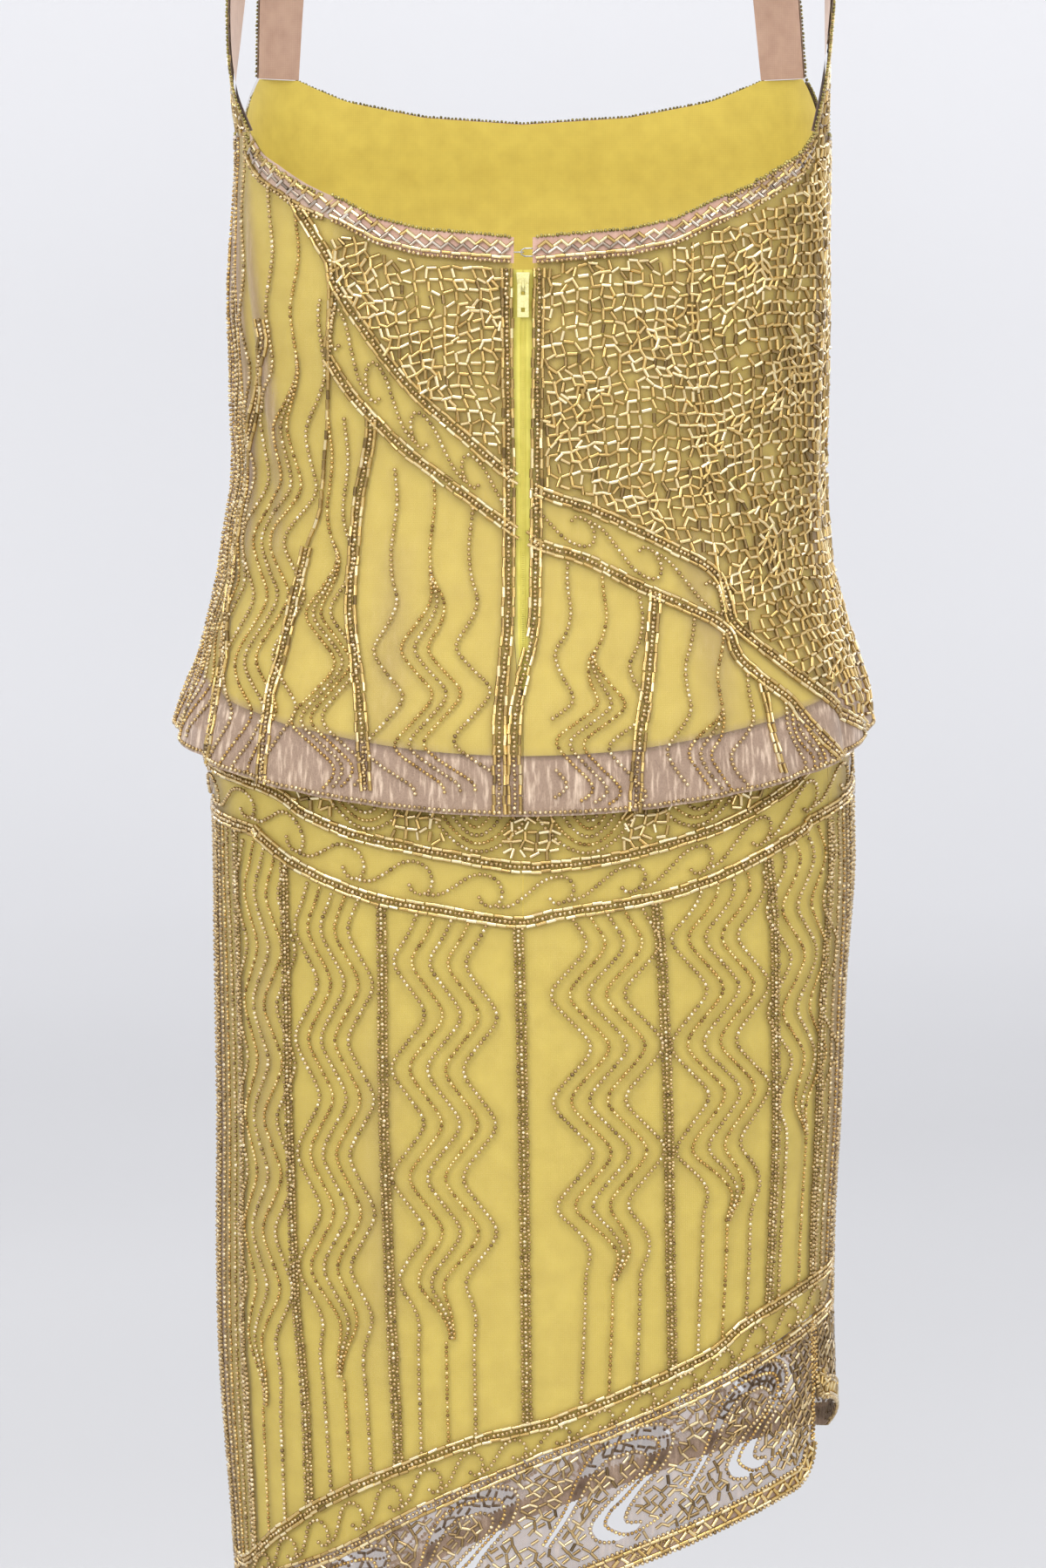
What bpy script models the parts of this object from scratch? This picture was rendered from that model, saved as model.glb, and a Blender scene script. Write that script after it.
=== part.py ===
"""Sleeveless beaded evening dress, hollow as worn: net over a lining, a low scooped back with a
zip, a fluted bodice hem over a straight skirt, and an unlined lace hem that slants from low at
-X to high at +X. The back faces -Y. The origin is the middle of the shoulder line, where the
wearer holds the dress up. Metres, +Z up."""

import math

import bmesh
import bpy
from mathutils import Matrix, Vector
from mathutils.geometry import delaunay_2d_cdt

# ---- driving dimensions ----------------------------------------------------------------------

NET = 0.0012  # wall of the beaded net
LINING = 0.0010  # wall of the lining
LAYER_GAP = 0.0005  # between net and lining
SEAM_GAP = 0.0003  # between pieces that are sewn together
TRIM = 0.0012  # wall of a band that lies on the net
ZIP_GAP = 0.0004  # between net and zip tape

# Places round the body are in degrees from the centre back, positive towards +X. The bodice's
# side seams are at 90.
SKIRT_SEAM_RIGHT = 63.0  # the slit in the hem is at this seam
SKIRT_SEAM_LEFT = 74.0

BODICE_HEM = {"side": -0.553, "back": -0.598, "front": -0.592}
LINING_HEM = {"side": -0.512, "back": -0.564, "front": -0.558}
HEM_BEND = 1.4  # how the hem swings between side and centre

WAIST_JOIN = -0.485  # where the skirt is caught inside the bodice
JOIN_INSET = NET + LAYER_GAP + LINING + 0.0009

# Bottom of the lined skirt, where the lace starts, the same at the back and the front.
HEM_LINE = (
    {"x": -0.1800, "z": -1.0580},
    {"x": -0.1135, "z": -1.0270},
    {"x": -0.0600, "z": -0.9970},
    {"x": 0.0000, "z": -0.9700},
    {"x": 0.0750, "z": -0.9410},
    {"x": 0.1300, "z": -0.9170},
    {"x": 0.1840, "z": -0.8910},
)
HEM_GIRTH = 0.940  # round the skirt along that line

LACE_DEPTH = 0.087
LACE_DEPTH_SLIT = 0.094  # back lace, at the slit
LACE_DEPTH_FRONT_SLIT = 0.047
SLIT_REACH = 0.110  # along the hem, over which the depth changes
CORNER_RADIUS = 0.020
CORNER_STEPS = 4
EDGE_BAND = 0.012  # beaded edge of the lace
LACE_GRID = 0.018  # spacing of the lace's mesh

# Level sections of the bodice: half widths towards -X and +X, depths to back and front, and the
# power of the rounded outline (2 is an ellipse).
BODICE_SECTIONS = (
    {"z": -0.150, "left": 0.168, "right": 0.177, "back": 0.100, "front": 0.107, "power": 3.0},
    {"z": -0.210, "left": 0.166, "right": 0.177, "back": 0.105, "front": 0.115, "power": 3.0},
    {"z": -0.250, "left": 0.167, "right": 0.177, "back": 0.108, "front": 0.121, "power": 2.9},
    {"z": -0.300, "left": 0.169, "right": 0.1765, "back": 0.111, "front": 0.120, "power": 2.7},
    {"z": -0.352, "left": 0.168, "right": 0.1755, "back": 0.112, "front": 0.114, "power": 2.5},
    {"z": -0.408, "left": 0.167, "right": 0.1745, "back": 0.112, "front": 0.109, "power": 2.4},
    {"z": -0.453, "left": 0.174, "right": 0.1775, "back": 0.116, "front": 0.110, "power": 2.3},
    {"z": -0.485, "left": 0.180, "right": 0.1840, "back": 0.121, "front": 0.113, "power": 2.3},
    {"z": -0.512, "left": 0.186, "right": 0.1920, "back": 0.126, "front": 0.117, "power": 2.3},
    {"z": -0.534, "left": 0.194, "right": 0.1975, "back": 0.130, "front": 0.121, "power": 2.3},
    {"z": -0.552, "left": 0.198, "right": 0.1985, "back": 0.134, "front": 0.125, "power": 2.3},
    {"z": -0.600, "left": 0.206, "right": 0.2060, "back": 0.138, "front": 0.129, "power": 2.3},
)
SKIRT_SECTIONS = (
    {"z": -0.530, "left": 0.1830, "right": 0.1880, "back": 0.121, "front": 0.114, "power": 2.3},
    {"z": -0.576, "left": 0.1855, "right": 0.1925, "back": 0.125, "front": 0.117, "power": 2.3},
    {"z": -0.603, "left": 0.1815, "right": 0.1930, "back": 0.127, "front": 0.118, "power": 2.3},
    {"z": -0.643, "left": 0.1805, "right": 0.1935, "back": 0.128, "front": 0.119, "power": 2.3},
    {"z": -0.713, "left": 0.1790, "right": 0.1894, "back": 0.126, "front": 0.118, "power": 2.3},
    {"z": -0.786, "left": 0.1780, "right": 0.1870, "back": 0.123, "front": 0.117, "power": 2.3},
    {"z": -0.842, "left": 0.1785, "right": 0.1840, "back": 0.121, "front": 0.116, "power": 2.3},
    {"z": -0.896, "left": 0.1785, "right": 0.1830, "back": 0.120, "front": 0.116, "power": 2.3},
    {"z": -0.941, "left": 0.1770, "right": 0.1840, "back": 0.119, "front": 0.116, "power": 2.3},
    {"z": -1.031, "left": 0.1710, "right": 0.1840, "back": 0.118, "front": 0.115, "power": 2.3},
    {"z": -1.150, "left": 0.1650, "right": 0.1840, "back": 0.117, "front": 0.115, "power": 2.3},
)
# Top edge of the bodice, by degrees round from the centre back: scooped back neckline, strap
# seam, underarm, front strap seam, front neckline.
TOP_EDGE = (
    {"round": 0, "z": -0.274},
    {"round": 19, "z": -0.269},
    {"round": 27, "z": -0.263},
    {"round": 34, "z": -0.252},
    {"round": 41, "z": -0.243},
    {"round": 48, "z": -0.232},
    {"round": 53, "z": -0.2256},
    {"round": 59, "z": -0.213},
    {"round": 73, "z": -0.213},
    {"round": 90, "z": -0.215},
    {"round": 105, "z": -0.208},
    {"round": 120, "z": -0.178},
    {"round": 134, "z": -0.178},
    {"round": 145, "z": -0.190},
    {"round": 160, "z": -0.199},
    {"round": 180, "z": -0.203},
)
BACK_STRAP_SEAM = (59, 73)
FRONT_STRAP_SEAM = (134, 120)
BACK_NECKBAND_END = 36
NECKBAND_HEIGHT = 0.0145

# Columns of the bodice's mesh: stretches from one angle to the next, and the columns in each.
BACK_STRETCHES = ((0, 36, 4), (36, 59, 4), (59, 73, 3), (73, 90, 4))
FRONT_STRETCHES = ((90, 120, 7), (120, 134, 3), (134, 180, 5))
LINED_ROWS = 8
UNLINED_ROWS = 3
SKIRT_BACK_COLUMNS = 10  # in each half of the back
SKIRT_FRONT_COLUMNS = 28
SKIRT_ROWS = 8

# Flutes of the bodice hem: place in degrees round from the centre back (negative towards -X),
# half spread, how far they stand out at the hem, and where they start.
FLUTES = (
    {"round": 44, "spread": 4.0, "height": 0.0030, "start": -0.500},
    {"round": 56, "spread": 4.3, "height": 0.0055, "start": -0.475},
    {"round": 69, "spread": 4.4, "height": 0.0045, "start": -0.490},
    {"round": 83, "spread": 4.8, "height": 0.0060, "start": -0.460},
    {"round": 98, "spread": 4.8, "height": 0.0050, "start": -0.470},
    {"round": 112, "spread": 4.3, "height": 0.0045, "start": -0.480},
    {"round": 126, "spread": 4.2, "height": 0.0030, "start": -0.495},
    {"round": -41, "spread": 4.0, "height": 0.0040, "start": -0.500},
    {"round": -54, "spread": 4.4, "height": 0.0060, "start": -0.485},
    {"round": -68, "spread": 4.4, "height": 0.0070, "start": -0.470},
    {"round": -84, "spread": 5.0, "height": 0.0055, "start": -0.465},
    {"round": -100, "spread": 4.8, "height": 0.0060, "start": -0.475},
    {"round": -115, "spread": 4.3, "height": 0.0040, "start": -0.485},
    {"round": -129, "spread": 4.2, "height": 0.0030, "start": -0.495},
)

# Half the opening of the centre back, where the zip shows.
OPENING = (
    {"z": -0.274, "half": 0.0052},
    {"z": -0.293, "half": 0.0064},
    {"z": -0.330, "half": 0.0060},
    {"z": -0.450, "half": 0.0040},
    {"z": -0.518, "half": 0.0022},
    {"z": -0.531, "half": SEAM_GAP / 2},
)
LINING_OPENING = (
    {"z": -0.530, "half": 0.0115},
    {"z": -0.562, "half": SEAM_GAP / 2},
)
ZIP = {"top": -0.2915, "bottom": -0.527, "tape_width": 0.0098, "tape": 0.0008,
       "half_coil": 0.0004, "rows": 8}

# Straps, from the back seam over the shoulder to the front seam. Each row gives the neck edge
# and the arm edge at one station, for the -X and +X straps.
STRAP_STATIONS = (
    {"neck_z": -0.190, "neck_left": 0.1640, "neck_right": 0.1705, "neck_y": -0.0640,
     "arm_left": 0.1665, "arm_right": 0.1750, "arm_y": -0.0370, "arm_z": -0.188},
    {"neck_z": -0.160, "neck_left": 0.1675, "neck_right": 0.1745, "neck_y": -0.0660,
     "arm_left": 0.1630, "arm_right": 0.1745, "arm_y": -0.0400, "arm_z": -0.158},
    {"neck_z": -0.120, "neck_left": 0.1660, "neck_right": 0.1755, "neck_y": -0.0660,
     "arm_left": 0.1590, "arm_right": 0.1735, "arm_y": -0.0410, "arm_z": -0.120},
    {"neck_z": -0.070, "neck_left": 0.1560, "neck_right": 0.1630, "neck_y": -0.0580,
     "arm_left": 0.1590, "arm_right": 0.1690, "arm_y": -0.0350, "arm_z": -0.074},
    {"neck_z": -0.022, "neck_left": 0.1370, "neck_right": 0.1420, "neck_y": -0.0330,
     "arm_left": 0.1560, "arm_right": 0.1620, "arm_y": -0.0220, "arm_z": -0.032},
    {"neck_z": 0.0000, "neck_left": 0.1230, "neck_right": 0.1270, "neck_y": 0.0000,
     "arm_left": 0.1520, "arm_right": 0.1560, "arm_y": 0.0020, "arm_z": -0.0120},
    {"neck_z": -0.024, "neck_left": 0.1220, "neck_right": 0.1260, "neck_y": 0.0400,
     "arm_left": 0.1520, "arm_right": 0.1560, "arm_y": 0.0300, "arm_z": -0.034},
    {"neck_z": -0.080, "neck_left": 0.1270, "neck_right": 0.1320, "neck_y": 0.0700,
     "arm_left": 0.1545, "arm_right": 0.1590, "arm_y": 0.0480, "arm_z": -0.085},
    {"neck_z": -0.135, "neck_left": 0.1320, "neck_right": 0.1385, "neck_y": 0.0840,
     "arm_left": 0.1565, "arm_right": 0.1640, "arm_y": 0.0570, "arm_z": -0.138},
)
STRAP_COLUMNS = 3
STRAP_ROWS_EACH = 2  # rows of the mesh between two stations

# One repeat of the lace: the gold line and the bead rows above and below it, as places along the
# hem and drops below the top of the loop.
LACE_TOP = 0.0155  # the loop's top, below the lined skirt
GOLD_LINE = (
    (-0.0258, -0.0038), (-0.0137, -0.0045), (0.0, 0.0), (0.0039, 0.0082), (0.0022, 0.0147),
    (-0.0022, 0.0199), (-0.0079, 0.0243), (-0.0135, 0.0294), (-0.0186, 0.0330),
    (-0.0217, 0.0389), (-0.0198, 0.0432), (-0.0140, 0.0494), (-0.0079, 0.0514),
)
UPPER_ROW = (
    (-0.0215, -0.0095), (-0.0115, -0.0100), (0.0040, -0.0055), (0.0105, 0.0035), (0.0083, 0.0150),
    (0.0022, 0.0225), (-0.0035, 0.0272), (-0.0088, 0.0335), (-0.0112, 0.0375),
    (-0.0120, 0.0410), (-0.0108, 0.0440), (-0.0075, 0.0455), (-0.0040, 0.0470),
)
LOWER_ROW = (
    (-0.0205, 0.0030), (-0.0130, 0.0035), (-0.0073, 0.0045), (-0.0022, 0.0100), (-0.0032, 0.0160),
    (-0.0080, 0.0205), (-0.0138, 0.0230), (-0.0182, 0.0262), (-0.0228, 0.0300),
    (-0.0272, 0.0350), (-0.0285, 0.0410), (-0.0245, 0.0485), (-0.0165, 0.0525),
)
FLANK_GOLD = ((-0.0508, 0.0386), (-0.0404, 0.0229), (-0.0336, 0.0052), (-0.0258, -0.0038))
FLANK_LOWER = ((-0.0475, 0.0410), (-0.0365, 0.0260), (-0.0285, 0.0105), (-0.0205, 0.0030))
BEAD_EDGE = 0.0011  # net left under a row of beads, each side of its line
SLOT_POINTS = 11
BACK_LOOPS = (0.1265, 0.0597, -0.0130, -0.0780, -0.1430)  # along the hem from the centre back
FRONT_LOOPS = (0.335, 0.404, 0.474, 0.544, 0.614, 0.684)

SLIDER = {"z": -0.2985, "width": 0.0080, "height": 0.0110, "depth": 0.0028, "sunk": 0.0008,
          "taper": 0.7, "bevel": 0.0008}
ARCH = {"wire": 0.0006, "top": 0.0022, "bottom": -0.0038, "rise": 0.0028, "corner": 0.0008,
        "root": 0.0010}
TAB = {"pivot_down": 0.0018, "pivot_out": 0.0010, "width": 0.0065, "wall": 0.0012,
       "bar": 0.0007, "slot_end": 0.0055, "slot_half": 0.0012, "length": 0.0180,
       "hole_from": 0.0125, "hole_to": 0.0150, "hole_half": 0.0011, "bevel": 0.0003}
HOOK = {"z": -0.2818, "wire": 0.0004, "bar_x": -0.0010, "loop": 0.0022, "bend": 0.0013,
        "eye_end": 0.0110, "eye_neck": 0.0010, "hook_end": -0.0110, "hook_tip": -0.0038, "turns": 6}

MAUVE = (0.46, 0.31, 0.26)
YELLOW = (0.69, 0.56, 0.12)
TAN = (0.52, 0.34, 0.26)
BRONZE = (0.35, 0.22, 0.09)
ZIP_YELLOW = (0.72, 0.68, 0.08)
STEEL = (0.62, 0.62, 0.64)


# ---- curves and sections ---------------------------------------------------------------------


def smooth_at(rows, key, by, where):
    """A column of a table at a place between its rows, along a smooth curve through them."""
    rows = sorted(rows, key=lambda row: row[by])
    places = [row[by] for row in rows]
    values = [row[key] for row in rows]
    where = min(max(where, places[0]), places[-1])
    i = max(1, next((n for n, place in enumerate(places) if place >= where), 1))
    step = places[i] - places[i - 1]
    t = (where - places[i - 1]) / step

    def slope(n):
        low, high = max(n - 1, 0), min(n + 1, len(rows) - 1)
        return (values[high] - values[low]) / (places[high] - places[low])

    start, end = values[i - 1], values[i]
    out, back = slope(i - 1) * step, slope(i) * step
    return (
        start * (1 + 2 * t) * (1 - t) ** 2
        + out * t * (1 - t) ** 2
        + end * t * t * (3 - 2 * t)
        - back * t * t * (1 - t)
    )


def straight_at(rows, key, by, where):
    """The same along straight runs between the rows."""
    rows = sorted(rows, key=lambda row: row[by])
    for low, high in zip(rows, rows[1:]):
        if where <= high[by]:
            t = max(0.0, (where - low[by]) / (high[by] - low[by]))
            return low[key] + t * (high[key] - low[key])
    return rows[-1][key]


def smooth_path(points, count):
    """Count places, evenly spaced by point number, on a smooth curve through the points."""
    rows = [{"n": n, "u": u, "v": v} for n, (u, v) in enumerate(points)]
    places = [k * (len(points) - 1) / (count - 1) for k in range(count)]
    return [(smooth_at(rows, "u", "n", n), smooth_at(rows, "v", "n", n)) for n in places]


def section_at(sections, z):
    keys = ("left", "right", "back", "front", "power")
    return {key: smooth_at(sections, key, "z", z) for key in keys}


def ring_point(section, degrees):
    """A point of a level section, by degrees round from the centre back, positive towards +X."""
    s, c = math.sin(math.radians(degrees)), math.cos(math.radians(degrees))
    power = section["power"]
    out = (abs(s) ** power + abs(c) ** power) ** (-1 / power)
    half_width = section["right"] if s > 0 else section["left"]
    half_depth = section["back"] if c > 0 else section["front"]
    return out * half_width * s, -out * half_depth * c


def flute(degrees, z):
    """How far the flutes of the bodice hem stand out."""
    height = 0.0
    for row in FLUTES:
        away = (degrees - row["round"] + 180) % 360 - 180
        if abs(away) > 4 * row["spread"] or z > row["start"]:
            continue
        grown = min(1.0, (row["start"] - z) / (row["start"] - BODICE_HEM["side"]))
        height += row["height"] * grown**1.5 * math.exp(-0.5 * (away / row["spread"]) ** 2)
    return height


def bodice_point(degrees, z):
    section = section_at(BODICE_SECTIONS, z)
    x, y = ring_point(section, degrees)
    reach = math.hypot(x, y)
    out = 1 + flute(degrees, z) / reach
    return Vector((x * out, y * out, z))


def skirt_sections():
    """The skirt's sections below the join, and the join itself, just inside the bodice lining."""
    join = section_at(BODICE_SECTIONS, WAIST_JOIN)
    for key in ("left", "right", "back", "front"):
        join[key] -= JOIN_INSET
    return ({"z": WAIST_JOIN, **join}, *SKIRT_SECTIONS)


SKIRT_TABLE = skirt_sections()


def skirt_point(degrees, z):
    x, y = ring_point(section_at(SKIRT_TABLE, z), degrees)
    return Vector((x, y, z))


def swing(levels, degrees):
    """Height of an edge that swings from the side seams down to the centre back and front."""
    c = math.cos(math.radians(degrees))
    middle = levels["back"] if c > 0 else levels["front"]
    return levels["side"] + (middle - levels["side"]) * abs(c) ** HEM_BEND


def top_edge(degrees):
    return straight_at(TOP_EDGE, "z", "round", abs((degrees + 180) % 360 - 180))


def lined_hem(degrees):
    """Bottom of the lined skirt, where the lace starts."""
    middle = smooth_at(HEM_LINE, "z", "x", 0.0)
    return smooth_at(HEM_LINE, "z", "x", skirt_point(degrees, middle).x)


# ---- meshes ----------------------------------------------------------------------------------


def grid_normals(grid):
    """Outward directions at a grid's points. Columns run round towards +X as seen from the back,
    and rows run down."""
    normals = []
    for i, column in enumerate(grid):
        before, after = grid[max(i - 1, 0)], grid[min(i + 1, len(grid) - 1)]
        line = []
        for j in range(len(column)):
            across = after[j] - before[j]
            down = column[min(j + 1, len(column) - 1)] - column[max(j - 1, 0)]
            line.append(down.cross(across).normalized())
        normals.append(line)
    return normals


def moved(grid, distance):
    """The grid moved out along its own normals, or in for a negative distance."""
    normals = grid_normals(grid)
    return [
        [point + normal * distance for point, normal in zip(points, directions)]
        for points, directions in zip(grid, normals)
    ]


def add_object(name, mesh, material):
    mesh.materials.append(material)
    mesh.shade_smooth()
    mesh.set_sharp_from_angle(angle=math.radians(40))
    thing = bpy.data.objects.new(name, mesh)
    PARTS.objects.link(thing)
    return thing


def add_wall(thing, thickness):
    wall = thing.modifiers.new("wall", "SOLIDIFY")
    wall.thickness = thickness
    wall.offset = -1
    return thing


def add_cloth(name, grid, thickness, material):
    """A wall of cloth whose outer face is the grid."""
    rows = len(grid[0])
    points = [point for column in grid for point in column]
    faces = [
        (i * rows + j, i * rows + j + 1, (i + 1) * rows + j + 1, (i + 1) * rows + j)
        for i in range(len(grid) - 1)
        for j in range(rows - 1)
    ]
    mesh = bpy.data.meshes.new(name)
    mesh.from_pydata(points, [], faces)
    return add_wall(add_object(name, mesh, material), thickness)


def make_material(name, colour, roughness, metallic=0.0):
    material = bpy.data.materials.new(name)
    material.use_nodes = True
    shader = material.node_tree.nodes["Principled BSDF"]
    shader.inputs["Base Color"].default_value = (*colour, 1.0)
    shader.inputs["Roughness"].default_value = roughness
    shader.inputs["Metallic"].default_value = metallic
    return material


def apply_modifiers(thing):
    """The object's mesh as its modifiers leave it, in place of the mesh and the modifiers."""
    graph = bpy.context.evaluated_depsgraph_get()
    finished = bpy.data.meshes.new_from_object(thing.evaluated_get(graph))
    thing.modifiers.clear()
    thing.data = finished


# ---- bodice ----------------------------------------------------------------------------------


def stretch_columns(stretches):
    places = [stretches[0][0]]
    for start, end, count in stretches:
        places += [start + (end - start) * (k + 1) / count for k in range(count)]
    return places


def bodice_rows(degrees):
    """Heights of the bodice's rows at one column: down the lining, then down the unlined hem."""
    top, lined, hem = top_edge(degrees), swing(LINING_HEM, degrees), swing(BODICE_HEM, degrees)
    heights = [top + (lined - top) * k / LINED_ROWS for k in range(LINED_ROWS + 1)]
    return heights + [lined + (hem - lined) * (k + 1) / UNLINED_ROWS for k in range(UNLINED_ROWS)]


def back_grid(side, opening):
    """Half of the bodice back. Side is 1 towards +X. Its columns close up beside the opening."""
    places = stretch_columns(BACK_STRETCHES)
    seam = math.degrees(SEAM_GAP / 2 / BODICE_SECTIONS[0]["back"])
    places[-1] -= seam
    grid = []
    for place in places:
        column = []
        for z in bodice_rows(side * place):
            half = straight_at(opening, "half", "z", z)
            start = math.degrees(math.asin(half / section_at(BODICE_SECTIONS, z)["right"]))
            turned = start + (places[-1] - start) * place / places[-1]
            column.append(bodice_point(side * turned, z))
        grid.append(column)
    return grid if side > 0 else grid[::-1]


def front_grid():
    half = stretch_columns(FRONT_STRETCHES)
    seam = math.degrees(SEAM_GAP / 2 / BODICE_SECTIONS[0]["front"])
    half[0] += seam
    places = half + [360 - place for place in half[-2::-1]]
    return [[bodice_point(place, z) for z in bodice_rows(place)] for place in places]


def lined_part(grid):
    """The lining behind a panel: its upper rows, moved in."""
    return moved([column[: LINED_ROWS + 1] for column in grid], -NET - LAYER_GAP)


def make_bodice(net, lining):
    for side, name in ((-1, "left"), (1, "right")):
        add_cloth(f"bodice_back_{name}", back_grid(side, OPENING), NET, net)
        backing = lined_part(back_grid(side, LINING_OPENING))
        add_cloth(f"bodice_lining_back_{name}", backing, LINING, lining)
    add_cloth("bodice_front", front_grid(), NET, net)
    add_cloth("bodice_lining_front", lined_part(front_grid()), LINING, lining)


# ---- neckbands and straps --------------------------------------------------------------------


def band_grid(places, height, opening_side=0):
    """A band on the bodice along its top edge, at columns given in degrees."""
    grid = []
    for place in places:
        top = top_edge(place)
        column = []
        for z in (top, top - height / 2, top - height):
            turned = place
            if opening_side and abs(place) < 1e-6:
                half = OPENING[0]["half"]
                turned = opening_side * math.degrees(math.asin(half / BODICE_SECTIONS[0]["right"]))
            column.append(bodice_point(turned, z))
        grid.append(column)
    return moved(grid, SEAM_GAP + TRIM)


def make_neckbands(beaded):
    back = [place for place in stretch_columns(BACK_STRETCHES) if place <= BACK_NECKBAND_END]
    for side, name in ((-1, "left"), (1, "right")):
        places = sorted(side * place for place in back)
        add_cloth(f"neckband_back_{name}", band_grid(places, NECKBAND_HEIGHT, side), TRIM, beaded)
    half = [place for place in stretch_columns(FRONT_STRETCHES) if place >= FRONT_STRAP_SEAM[0]]
    places = half + [360 - place for place in half[-2::-1]]
    add_cloth("neckband_front", band_grid(places, NECKBAND_HEIGHT), TRIM, beaded)


def seam_points(side, seam):
    """Points along a strap's seam on the bodice, from the neck edge to the arm edge."""
    places = [seam[0] + (seam[1] - seam[0]) * k / STRAP_COLUMNS for k in range(STRAP_COLUMNS + 1)]
    lift = Vector((0, 0, SEAM_GAP))
    return [bodice_point(side * place, top_edge(place)) + lift for place in places]


def strap_grid(side):
    """Columns from the neck edge to the arm edge, rows from the back seam to the front seam."""
    hand = "right" if side > 0 else "left"
    stations = [seam_points(side, BACK_STRAP_SEAM)]
    for row in STRAP_STATIONS:
        neck = Vector((side * row[f"neck_{hand}"], row["neck_y"], row["neck_z"]))
        arm = Vector((side * row[f"arm_{hand}"], row["arm_y"], row["arm_z"]))
        stations.append([neck.lerp(arm, k / STRAP_COLUMNS) for k in range(STRAP_COLUMNS + 1)])
    stations.append(seam_points(side, FRONT_STRAP_SEAM))
    count = (len(stations) - 1) * STRAP_ROWS_EACH + 1
    grid = []
    for k in range(STRAP_COLUMNS + 1):
        rows = [{"n": n, "x": s[k].x, "y": s[k].y, "z": s[k].z} for n, s in enumerate(stations)]
        places = [n / STRAP_ROWS_EACH for n in range(count)]
        grid.append([Vector([smooth_at(rows, axis, "n", n) for axis in "xyz"]) for n in places])
    # Rows run up the back, so they are turned over to run down as a grid's rows do.
    grid = [column[::-1] for column in grid]
    return grid if side > 0 else grid[::-1]


def make_straps(net, facing):
    for side, name in ((-1, "left"), (1, "right")):
        grid = strap_grid(side)
        add_cloth(f"strap_{name}", grid, NET, net)
        inside = moved(grid, -NET - SEAM_GAP)
        inside = [column[1:-1] for column in inside]
        add_cloth(f"strap_facing_{name}", inside, LINING, facing)


# ---- zip, hook and eye -----------------------------------------------------------------------


def back_face(z):
    """Y of the bodice's outer face at the centre back."""
    return bodice_point(0, z).y


def make_tapes(yellow):
    rows = ZIP["rows"]
    for side, name in ((-1, "left"), (1, "right")):
        grid = []
        for x in (ZIP["half_coil"], ZIP["tape_width"] / 2, ZIP["tape_width"]):
            column = []
            for k in range(rows + 1):
                z = ZIP["top"] + (ZIP["bottom"] - ZIP["top"]) * k / rows
                turned = math.degrees(math.asin(x / section_at(BODICE_SECTIONS, z)["right"]))
                column.append(bodice_point(side * turned, z))
            grid.append(column)
        grid = grid if side > 0 else grid[::-1]
        add_cloth(f"zip_tape_{name}", moved(grid, -NET - ZIP_GAP), ZIP["tape"], yellow)


def add_box(name, low, high, material, bevel=0.0):
    """A box between two corners, with rounded edges where bevel is given."""
    bpy.ops.mesh.primitive_cube_add(size=1)
    box = bpy.context.object
    box.name = name
    middle = (Vector(low) + Vector(high)) / 2
    size = Vector(high) - Vector(low)
    box.data.transform(Matrix.Translation(middle) @ Matrix.Diagonal((*size, 1)))
    for collection in box.users_collection:
        collection.objects.unlink(box)
    PARTS.objects.link(box)
    box.data.materials.append(material)
    if bevel:
        rounded = box.modifiers.new("rounded", "BEVEL")
        rounded.width = bevel
        rounded.segments = 2
    return box


def add_wire(name, points, radius, material):
    """A round wire along straight runs between its points."""
    curve = bpy.data.curves.new(name, "CURVE")
    curve.dimensions = "3D"
    curve.bevel_depth = radius
    curve.bevel_resolution = 2
    curve.use_fill_caps = True
    line = curve.splines.new("POLY")
    line.points.add(len(points) - 1)
    for point, place in zip(line.points, points):
        point.co = (*place, 1)
    wire = bpy.data.objects.new(name, curve)
    wire.data.materials.append(material)
    PARTS.objects.link(wire)
    return wire


def as_mesh(wire):
    """The wire as a closed mesh, so that it can be joined to another solid."""
    graph = bpy.context.evaluated_depsgraph_get()
    mesh = bpy.data.meshes.new_from_object(wire.evaluated_get(graph))
    welded = bmesh_weld(mesh)
    thing = bpy.data.objects.new(wire.name + "_mesh", welded)
    thing.matrix_world = wire.matrix_world
    bpy.data.objects.remove(wire)
    CUTTERS.objects.link(thing)
    return thing


def bmesh_weld(mesh):
    work = bmesh.new()
    work.from_mesh(mesh)
    bmesh.ops.remove_doubles(work, verts=work.verts, dist=1e-6)
    work.to_mesh(mesh)
    work.free()
    return mesh


def combine(thing, other, operation):
    """A Boolean with a helper that stays out of the render."""
    other.hide_render = True
    other.display_type = "WIRE"
    step = thing.modifiers.new(operation.lower(), "BOOLEAN")
    step.operation = operation
    step.object = other


def make_slider(metal):
    """The slider with its arch. Gives Y of its front face."""
    middle = SLIDER["z"]
    face = back_face(middle) + SLIDER["sunk"]
    front = face - SLIDER["depth"]
    half_w, half_h = SLIDER["width"] / 2, SLIDER["height"] / 2
    low, high = (-half_w, front, middle - half_h), (half_w, face, middle + half_h)
    body = add_box("zip_slider", low, high, metal, SLIDER["bevel"])
    for corner in body.data.vertices:
        if corner.co.z < middle:
            corner.co.x *= SLIDER["taper"]
    root, outer, round_off = front + ARCH["root"], front - ARCH["rise"], ARCH["corner"]
    top, bottom = middle + ARCH["top"], middle + ARCH["bottom"]
    path = [
        (0, root, top), (0, outer + round_off, top), (0, outer, top - round_off),
        (0, outer, bottom + round_off), (0, outer + round_off, bottom), (0, root, bottom),
    ]
    combine(body, as_mesh(add_wire("arch", path, ARCH["wire"], metal)), "UNION")
    return front


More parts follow.
